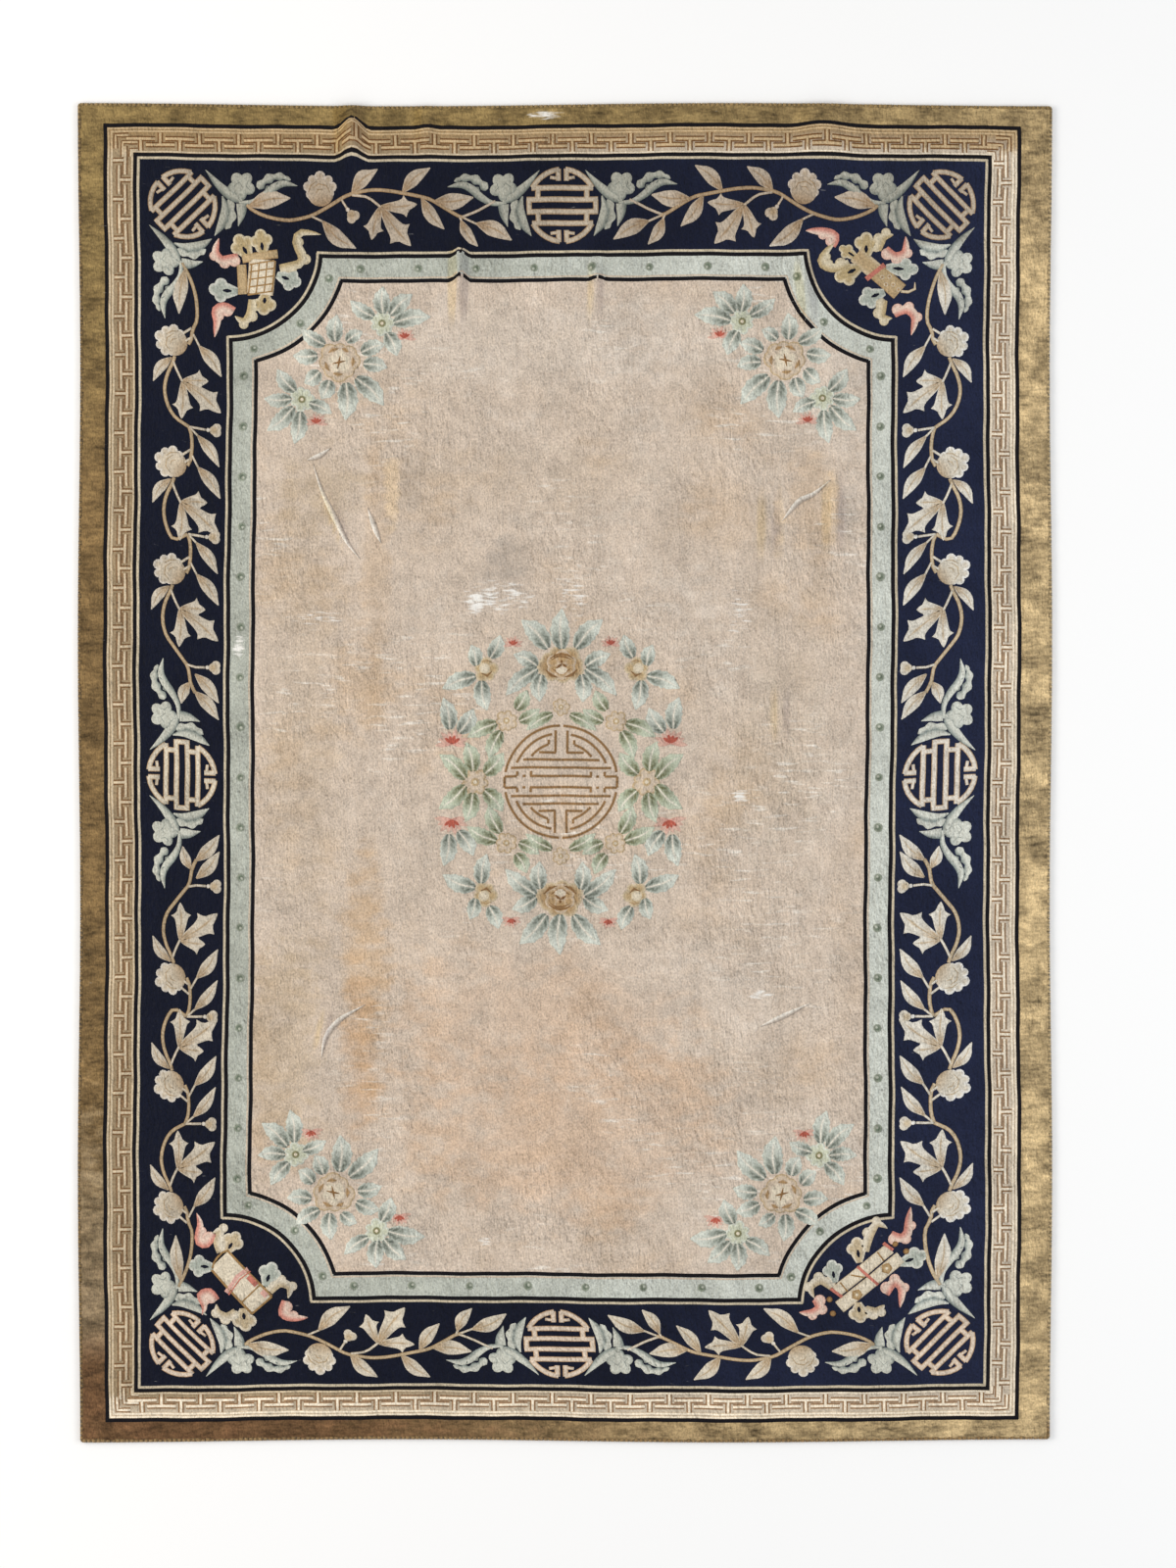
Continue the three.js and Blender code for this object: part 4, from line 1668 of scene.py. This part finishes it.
# %% Book in its case
BOOK_BOWS = [
    ((-36, 72), (-10, 120), 22, IVORY),
    ((-66, 38), (-132, 42), 22, GREEN),
    ((62, -14), (82, 42), 23, GREEN),
    ((6, -66), (8, -120), 24, IVORY),
]
BOOK_ENDS = [
    ([(-50, 74), (-58, 106), (-50, 132), (-72, 124)], IVORY, -1),
    ([(-68, 124), (-86, 98), (-108, 104), (-104, 144), (-114, 172)], ROSE, -1),
    ([(-12, -74), (-36, -88), (-58, -74), (-60, -54)], IVORY, 1),
    ([(-60, -46), (-78, -26), (-102, -36), (-92, -60), (-100, -84)], ROSE, 1),
    ([(72, -26), (98, -4), (124, -16), (118, -44)], IVORY, 1),
    ([(112, -50), (104, -82), (130, -94), (166, -92)], ROSE, 1),
]
book = Put((-793, -1267))
tie(emblems, book, BOOK_BOWS, BOOK_ENDS)
broad(emblems, book, (-54, 57), (52, -59), 34, edged(PALE_CREAM, PALE_CREAM), 1.8)
BOOK_EDGES = [
    [(-32, 78), (78, -38)],
    [(-74, 32), (28, -82)],
    [(-72, 34), (-64, 56), (-46, 74), (-30, 80)],
    [(26, -82), (78, -38)],
]
for line in BOOK_EDGES:
    narrow(emblems, book, line, HONEY, 3)
narrow(emblems, book, [(20, 32), (-8, 14), (-36, -26)], PINK, 6.5)
narrow(emblems, book, [(26, 26), (-2, 6), (-30, -32)], CORAL, 2.2, 2.5)
narrow(emblems, book, [(50, -8), (0, -54)], HONEY, 2.6)
broad(emblems, book, (20, 14), (42, -10), 10, solid(CORAL), 2.3)
broad(emblems, book, (52, -24), (66, -38), 9, solid(PINK), 2.3)
print("shapes so far:", len(emblems.flat))

# %% Pair of scrolls
SCROLL_BOWS = [
    ((-98, -18), (-110, 36), 20, GREEN),
    ((-38, 32), (-48, 92), 22, IVORY),
    ((62, 28), (124, 48), 22, GREEN),
    ((-40, -66), (-36, -114), 22, IVORY),
]
SCROLL_ENDS = [
    ([(-104, -30), (-134, -10), (-160, -30), (-150, -56)], IVORY, -1),
    ([(-148, -58), (-136, -80), (-156, -94), (-188, -92)], ROSE, 1),
    ([(-24, 60), (-16, 100), (4, 130), (30, 118)], IVORY, 1),
    ([(38, 104), (62, 92), (80, 104), (82, 134), (86, 170)], ROSE, -1),
    ([(-22, -84), (4, -92), (26, -74)], IVORY, -1),
    ([(28, -48), (48, -18), (68, -34), (64, -82)], ROSE, 1),
]
scrolls = Put((797, -1250))
tie(emblems, scrolls, SCROLL_BOWS, SCROLL_ENDS)
broad(emblems, scrolls, (-96, -41), (38, 68), 17, edged(PALE_CREAM, STRAW, 0.7), 1.7)
broad(emblems, scrolls, (-88, -80), (66, 44), 18, edged(PALE_CREAM, STRAW, 0.7), 1.9)
for x, y in ((-112, -60), (-104, -96), (50, 78), (78, 58)):
    emblems.blossom(scrolls.child((x, y)), 8, petal_dye(HONEY, BROWN), lift=1.7, spokes=10)
for x, y in ((-43, -47), (31, 17)):
    emblems.blossom(scrolls.child((x, y)), 16, petal_dye(STRAW, HONEY), 5, 0.3, lift=2.3, spokes=15)
    emblems.blossom(scrolls.child((x, y)), 4, solid(PALE_CREAM), lift=2.9, spokes=10)
for line in ([(-44, 24), (10, -24)], [(-110, -32), (-80, -54)], [(20, 82), (46, 62)]):
    narrow(emblems, scrolls, line, CORAL, 4.5, 2.4)
for line in ([(-86, -16), (-66, -40)], [(6, 60), (24, 36)], [(-60, 2), (-24, -4)]):
    narrow(emblems, scrolls, line, HONEY)
emblem_piece = woven("corner_emblems", emblems)

# %% [markdown]
# ## Flowers of the field
# The field holds one spray in each corner and a wreath round a large roundel in the middle. Petals are
# small round patches set in rings. The field's dyes have faded so far that the leaves almost melt into
# the ground.

# %% Flowers
BLUSH = silk("#d0a194")
TAWNY = silk("#ab8e68")


def ring_of(pile, put, count, reach, radius, dye, lift, turn=0, squash=1.0):
    """Petals in a ring, each a little out of place and size."""
    for number in range(count):
        angle = turn + 360 * number / count + 6 * math.sin(5.1 * number + reach)
        uneven = 1 + 0.16 * math.sin(2.3 * number + reach)
        at = polar(angle, reach) * (1, squash)
        pile.blossom(put.child(at), radius * uneven, dye, lift=lift, spokes=12)


def fold(pile, put, line, dyes, half=3.0, lift=2.0):
    """A soft shadow where petals overlap."""
    pile.stroke(put, line, [(0, 0.8), (0.5, half), (1, 0.8)], edged(*dyes, 0.1), lift)


def gold_peony(pile, put):
    ring_of(pile, put, 8, 36, 23, petal_dye(TAWNY, CREAM, 0.5), 1.1, 10, 0.72)
    ring_of(pile, put, 6, 24, 19, petal_dye(TAWNY, PEACH, 0.4), 1.5, 30, 0.72)
    pile.blossom(put.child((0, -14)), 11, petal_dye(PALE_CREAM, PEACH, 0.3), lift=1.9, stretch=1.6)
    for reach, low, high in ((36, 35, 145), (43, 200, 260), (43, 280, 340), (27, 205, 335)):
        fold(pile, put, polar(np.linspace(low, high, 7), reach) * (1, 0.75), (BROWN, TAWNY), 6, 1.9)
    fold(pile, put, [(-26, 12), (-10, 22), (8, 20), (24, 14)], (BROWN, TAWNY), 4.5, 2.3)
    for tip in ((-13, -9), (0, 13), (14, -6)):
        fold(pile, put, [(1, 3), tip], (BROWN, BROWN), 4.2, 2.5)


def pale_peony(pile, put):
    ring_of(pile, put, 8, 32, 22, petal_dye(PEACH, STRAW, 0.6), 1.1, 0, 0.9)
    ring_of(pile, put, 5, 18, 17, petal_dye(PALE_CREAM, PEACH, 0.4), 1.5, 20, 0.9)
    for low, high in ((90, 140), (45, 80), (-25, 20), (180, 228), (242, 285)):
        fold(pile, put, polar(np.linspace(low, high, 6), 36) * (1, 0.92), (HONEY, PEACH), 10, 1.7)
    for turn in (12, 78):
        fold(pile, put.child((-1, -2), turn), [(-18, 0), (18, 0)], (BROWN, HONEY), 3.8, 2.2)


def star_flower(pile, put, petal, edge, core, size=1.0):
    ring_of(pile, put, 7, 18 * size, 10 * size, petal_dye(petal, edge, 0.3), 1.1)
    pile.blossom(put, 18 * size, petal_dye(petal, petal), lift=1.3)
    pile.blossom(put, 9.5 * size, petal_dye(core, mix(core, petal, 0.5), 0.6), lift=1.7, spokes=12)
    pile.blossom(put, 4.2 * size, petal_dye(PALE_CREAM, PALE_CREAM), lift=2.2, spokes=10)


def gold_bud(pile, put):
    ring_of(pile, put, 5, 17, 15, petal_dye(STRAW, CREAM, 0.4), 1.2, 18)
    pile.blossom(put.child((4, 4)), 15, petal_dye(PALE_CREAM, CREAM, 0.3), lift=1.6, spokes=12)
    fold(pile, put, polar(np.linspace(190, 330, 7), 15), (BROWN, STRAW), 6, 2.0)
    fold(pile, put, polar(np.linspace(60, 130, 5), 24), (HONEY, CREAM), 4, 1.9)


def ray_dye(along, across):
    return mix(mix(CORAL, BLUSH, 0.7), mix(BLUSH, PEACH, 0.35), ease(along * 1.4) + across * 0)


def red_flower(pile, put, size=1.0):
    """Pink rays spread from a red heart, which is at the foot of the flower."""
    foot = np.array((0, -8)) * size
    for number, angle in enumerate((-6, 22, 50, 76, 104, 130, 158, 186)):
        tip = foot + polar(angle, (43 - 6 * (number % 2)) * size) * (1, 0.9)
        width = [(0, 3 * size), (0.6, 7 * size), (1, 0.8)]
        pile.stroke(put, [foot, tip], width, ray_dye, 1.0, 7)
    for x, y in ((-19, 6), (-7, 14), (6, 12), (18, 7)):
        tip = np.array((x, y)) * size
        width = [(0, 2 * size), (0.6, 5.5 * size), (1, 1)]
        pile.stroke(put, [foot, tip], width, edged(RED, CORAL, 0.2), 1.6, 7)


print("peony, star, bud and red flower ready")

# %% [markdown]
# A spray has one full flower and two smaller ones, which lie along the bitten corner. Each leaf is a row
# of its table: root, tip and half width, measured from the full flower.

# %% Corner sprays
SPRAY_X, SPRAY_Y = 561, 1046
DISC = silk("#bfc1ab")
SPRAY_FLOWERS = [(108, 96), (-94, -97)]
SPRAY_BUDS = [(165, 63), (-56, -151)]
SPRAY_LEAVES = [
    (-9, 50, -6, 113, 15), (-35, 41, -92, 77, 13), (-55, 14, -113, 13, 14), (-50, -25, -86, -55, 14),
    (-25, -47, -44, -92, 15), (16, -53, 16, -141, 18), (41, -41, 107, -107, 17), (61, -6, 118, -16, 14),
    (56, 22, 112, 42, 14), (19, 50, 56, 74, 12),
    (110, 120, 108, 185, 15), (88, 111, 31, 151, 13), (127, 117, 179, 166, 15), (136, 97, 223, 110, 16),
    (120, 72, 144, 16, 15),
    (-111, -78, -154, -25, 14), (-120, -97, -185, -96, 13), (-114, -117, -176, -173, 15),
    (-97, -127, -110, -204, 15), (-76, -105, -22, -130, 12),
]


def spray(pile, put):
    for row in SPRAY_LEAVES:
        field_leaf(pile, put, row, GREY_DYE)
    for at in SPRAY_FLOWERS:
        star_flower(pile, put.child(at), DISC, SAGE, MOSS, 1.15)
    for at in SPRAY_BUDS:
        red_flower(pile, put.child(at), 0.7)
    pale_peony(pile, put)


sprays = Pile()
for sx, sy in QUARTERS:
    spray(sprays, Put((sx * SPRAY_X, sy * SPRAY_Y), (-sx, 0), (0, sy)))
spray_piece = woven("corner_sprays", sprays)

# %% [markdown]
# Where the rug was folded away, the field keeps a few sharp creases. Each is a thin low ridge, painted pale
# on the side of the light and painted in shade on the other.

# %% Creases
CREASES = [
    [(-625, 787), (-597, 708), (-560, 635), (-530, 583), (-503, 548)],
    [(-487, 679), (-470, 630), (-452, 588)],
    [(677, 745), (633, 708), (596, 691), (552, 640)],
    [(-487, -571), (-546, -608), (-582, -652), (-594, -706)],
    [(-580, 828), (-610, 806), (-640, 795)],
    [(632, -566), (561, -601), (504, -625)],
]
CREASE_HALF = 7
CREASE_WIDTH = [(0, 0.6), (0.4, CREASE_HALF), (0.7, CREASE_HALF), (1, 0.6)]
CREASE_SHADE = mix(SMUDGE_AND_SHADE, FIELD_PEACH, 0.45)
# The lines run down the rug, so the right-hand side of each, -1, faces the light from the left.
CREASE_LIT = -1
creases = Pile()
for line in CREASES:
    creases.stroke(HERE, line, CREASE_WIDTH, ribbon_dye(CREASE_SHADE, FIELD_WORN_AND_LIT, CREASE_LIT), lift=2.2)
crease_piece = woven("field_creases", creases)

# %% [markdown]
# The wreath is the same above and below and left and right, so its tables hold one quarter. The roundel
# in it is drawn in brown lines only: each bar of the fret shows as its two edges.

# %% Middle wreath
WREATH_X, WREATH_Y = 3, -12
WREATH_GREY = [
    (34, 334, 98, 403, 17), (60, 290, 117, 320, 14), (60, 284, 134, 222, 15), (50, 270, 54, 205, 15),
    (178, 312, 156, 366, 14), (212, 292, 226, 342, 13), (214, 266, 292, 236, 15), (200, 256, 187, 185, 15),
    (257, 124, 222, 181, 15), (280, 132, 294, 207, 15),
]
WREATH_GREEN = [
    (220, 26, 238, 96, 15), (192, 20, 148, 70, 15), (238, 8, 302, 65, 15), (114, 180, 87, 227, 13),
    (106, 152, 58, 181, 12), (162, 148, 231, 115, 14), (152, 128, 179, 63, 14), (22, 170, 84, 132, 11),
]
# The leaf above and below the wreath, and how far from its middle the flowers on its axes sit.
TOP_LEAF = (0, 332, 0, 428, 17)
PEONY_REACH = 293
END_STAR_REACH = 187
SIDE_STAR_REACH = 215
# The roundel's lines, as shares of its radius: arcs with their two angles, and bars.
LINE_RADIUS = 141
LINE_HALF = 4.4
LINE_LIFT = 0.9
LINE_BROWN = edged(mix(BROWN, HONEY, 0.35), PEACH, 0.5)
LINE_ARCS = [(1.0, 10, 88.5), (0.86, 23, 79), (0.70, 40, 71)]
LINE_BARS = [
    ((0.105, 0.92), (0.105, 0.52)), ((0.09, 0.52), (0.40, 0.52)), ((0.225, 0.66), (0.225, 0.75)),
    ((0, 0.393), (0.68, 0.393)), ((0, 0.252), (0.89, 0.252)), ((0, 0.10), (0.55, 0.10)),
    ((0.775, 0.10), (1.0, 0.10)), ((0.62, 0.10), (0.68, 0.10)), ((0.53, 0.10), (0.53, 0.19)),
    ((0.775, 0.10), (0.775, 0.19)), ((1.0, -0.02), (1.0, 0.10)),
]


def line_roundel(pile, put):
    for side in (-1, 1):
        for up in (-1, 1):
            quarter = Put(put.at, put.along * side, put.across * up)
            for radius, low, high in LINE_ARCS:
                arc = polar(np.linspace(low, high, 12), radius * LINE_RADIUS)
                pile.stroke(quarter, arc, LINE_HALF, LINE_BROWN, LINE_LIFT, 14)
            for line in LINE_BARS:
                bar = evenly(np.array(line) * LINE_RADIUS, BUNDLE_STEP)
                pile.stroke(quarter, bar, LINE_HALF, LINE_BROWN, LINE_LIFT)


def wreath_quarter(pile, put):
    for table, dye in ((WREATH_GREY, GREY_DYE), (WREATH_GREEN, GREEN_DYE)):
        for row in table:
            field_leaf(pile, put, row, dye)
    gold_bud(pile, put.child((188, 282)))
    red_flower(pile, put.child((122, 350)), 0.62)
    red_flower(pile, put.child((274, 104)), 1.0)
    star_flower(pile, put.child((138, 153)), PEACH, STRAW, STRAW)


wreath = Pile()
middle = Put((WREATH_X, WREATH_Y))
line_roundel(wreath, middle)
for sx, sy in QUARTERS:
    wreath_quarter(wreath, Put(middle.at, (sx, 0), (0, sy)))
for way in (-1, 1):
    upright = Put(middle.at, (1, 0), (0, way))
    field_leaf(wreath, upright, TOP_LEAF, GREY_DYE)
    gold_peony(wreath, upright.child((0, PEONY_REACH)))
    star_flower(wreath, upright.child((0, END_STAR_REACH)), PEACH, STRAW, STRAW, 0.8)
    star_flower(wreath, middle.child((way * SIDE_STAR_REACH, 0)), PEACH, STRAW, STRAW, 1.3)
wreath_piece = woven("middle_wreath", wreath)

# %% [markdown]
# ## Floor and light
# The rug lies on a plain pale floor. A wide warm light from the left shows the ripples, and a cool one
# from the right keeps their far sides from going black. The sky is even, so that the dyes read as they
# are.

# %% Floor and light
FLOOR_HALF = 9.0
FLOOR_DROP = -0.0008
FLOOR_WHITE = (0.97, 0.97, 0.97, 1)
FLOOR_ROUGHNESS = 0.9
SKY_STRENGTH = 0.62
LIGHTS = [
    # name, place, width and height, power, colour
    ("warm_window", (-6.5, 0.6, 4.2), (6, 3), 330, (1.0, 0.95, 0.88)),
    ("cool_window", (6.5, -0.4, 4.6), (6, 3), 190, (0.90, 0.95, 1.0)),
]

floor_mesh = bpy.data.meshes.new("floor")
floor_corners = [(sx * FLOOR_HALF, sy * FLOOR_HALF, FLOOR_DROP) for sx, sy in QUARTERS]
floor_mesh.from_pydata(floor_corners, [], [(3, 2, 1, 0)])
floor = placed_object("floor", floor_mesh)
plaster = bpy.data.materials.new("pale_floor")
plaster.use_nodes = True
plaster_shader = plaster.node_tree.nodes["Principled BSDF"]
plaster_shader.inputs["Base Color"].default_value = FLOOR_WHITE
plaster_shader.inputs["Roughness"].default_value = FLOOR_ROUGHNESS
floor_mesh.materials.append(plaster)


def soft_light(name, place, size, power, colour):
    """A wide lamp that looks at the middle of the rug."""
    lamp = bpy.data.lights.new(name, "AREA")
    lamp.shape = "RECTANGLE"
    lamp.size, lamp.size_y = size
    lamp.energy = power
    lamp.color = colour
    light = bpy.data.objects.new(name, lamp)
    light.location = place
    light.rotation_euler = (-Vector(place)).to_track_quat("-Z", "Y").to_euler()
    bpy.context.scene.collection.objects.link(light)


for row in LIGHTS:
    soft_light(*row)
sky = bpy.data.worlds.new("even_sky")
sky.use_nodes = True
background = sky.node_tree.nodes["Background"]
background.inputs["Color"].default_value = (1, 1, 1, 1)
background.inputs["Strength"].default_value = SKY_STRENGTH
bpy.context.scene.world = sky
bpy.context.scene.view_settings.view_transform = "Standard"
print("lights:", [row[0] for row in LIGHTS])

# %% [markdown]
# ## Hand over
# Each pattern piece takes the motif silk as its material, and every piece rides on the rug's one body
# together with the ground sheet.

# %% Hand over
pattern = [guard_piece, side_vine_piece, end_vine_piece, roundel_piece, cloud_piece, emblem_piece]
pattern += [spray_piece, wreath_piece, crease_piece, fret_piece, pearl_piece, edge_piece]
for piece in pattern:
    piece.data.materials.append(motif_silk)
for piece in [rug_ground, *pattern]:
    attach(piece, "root")
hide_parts("silk_rug")
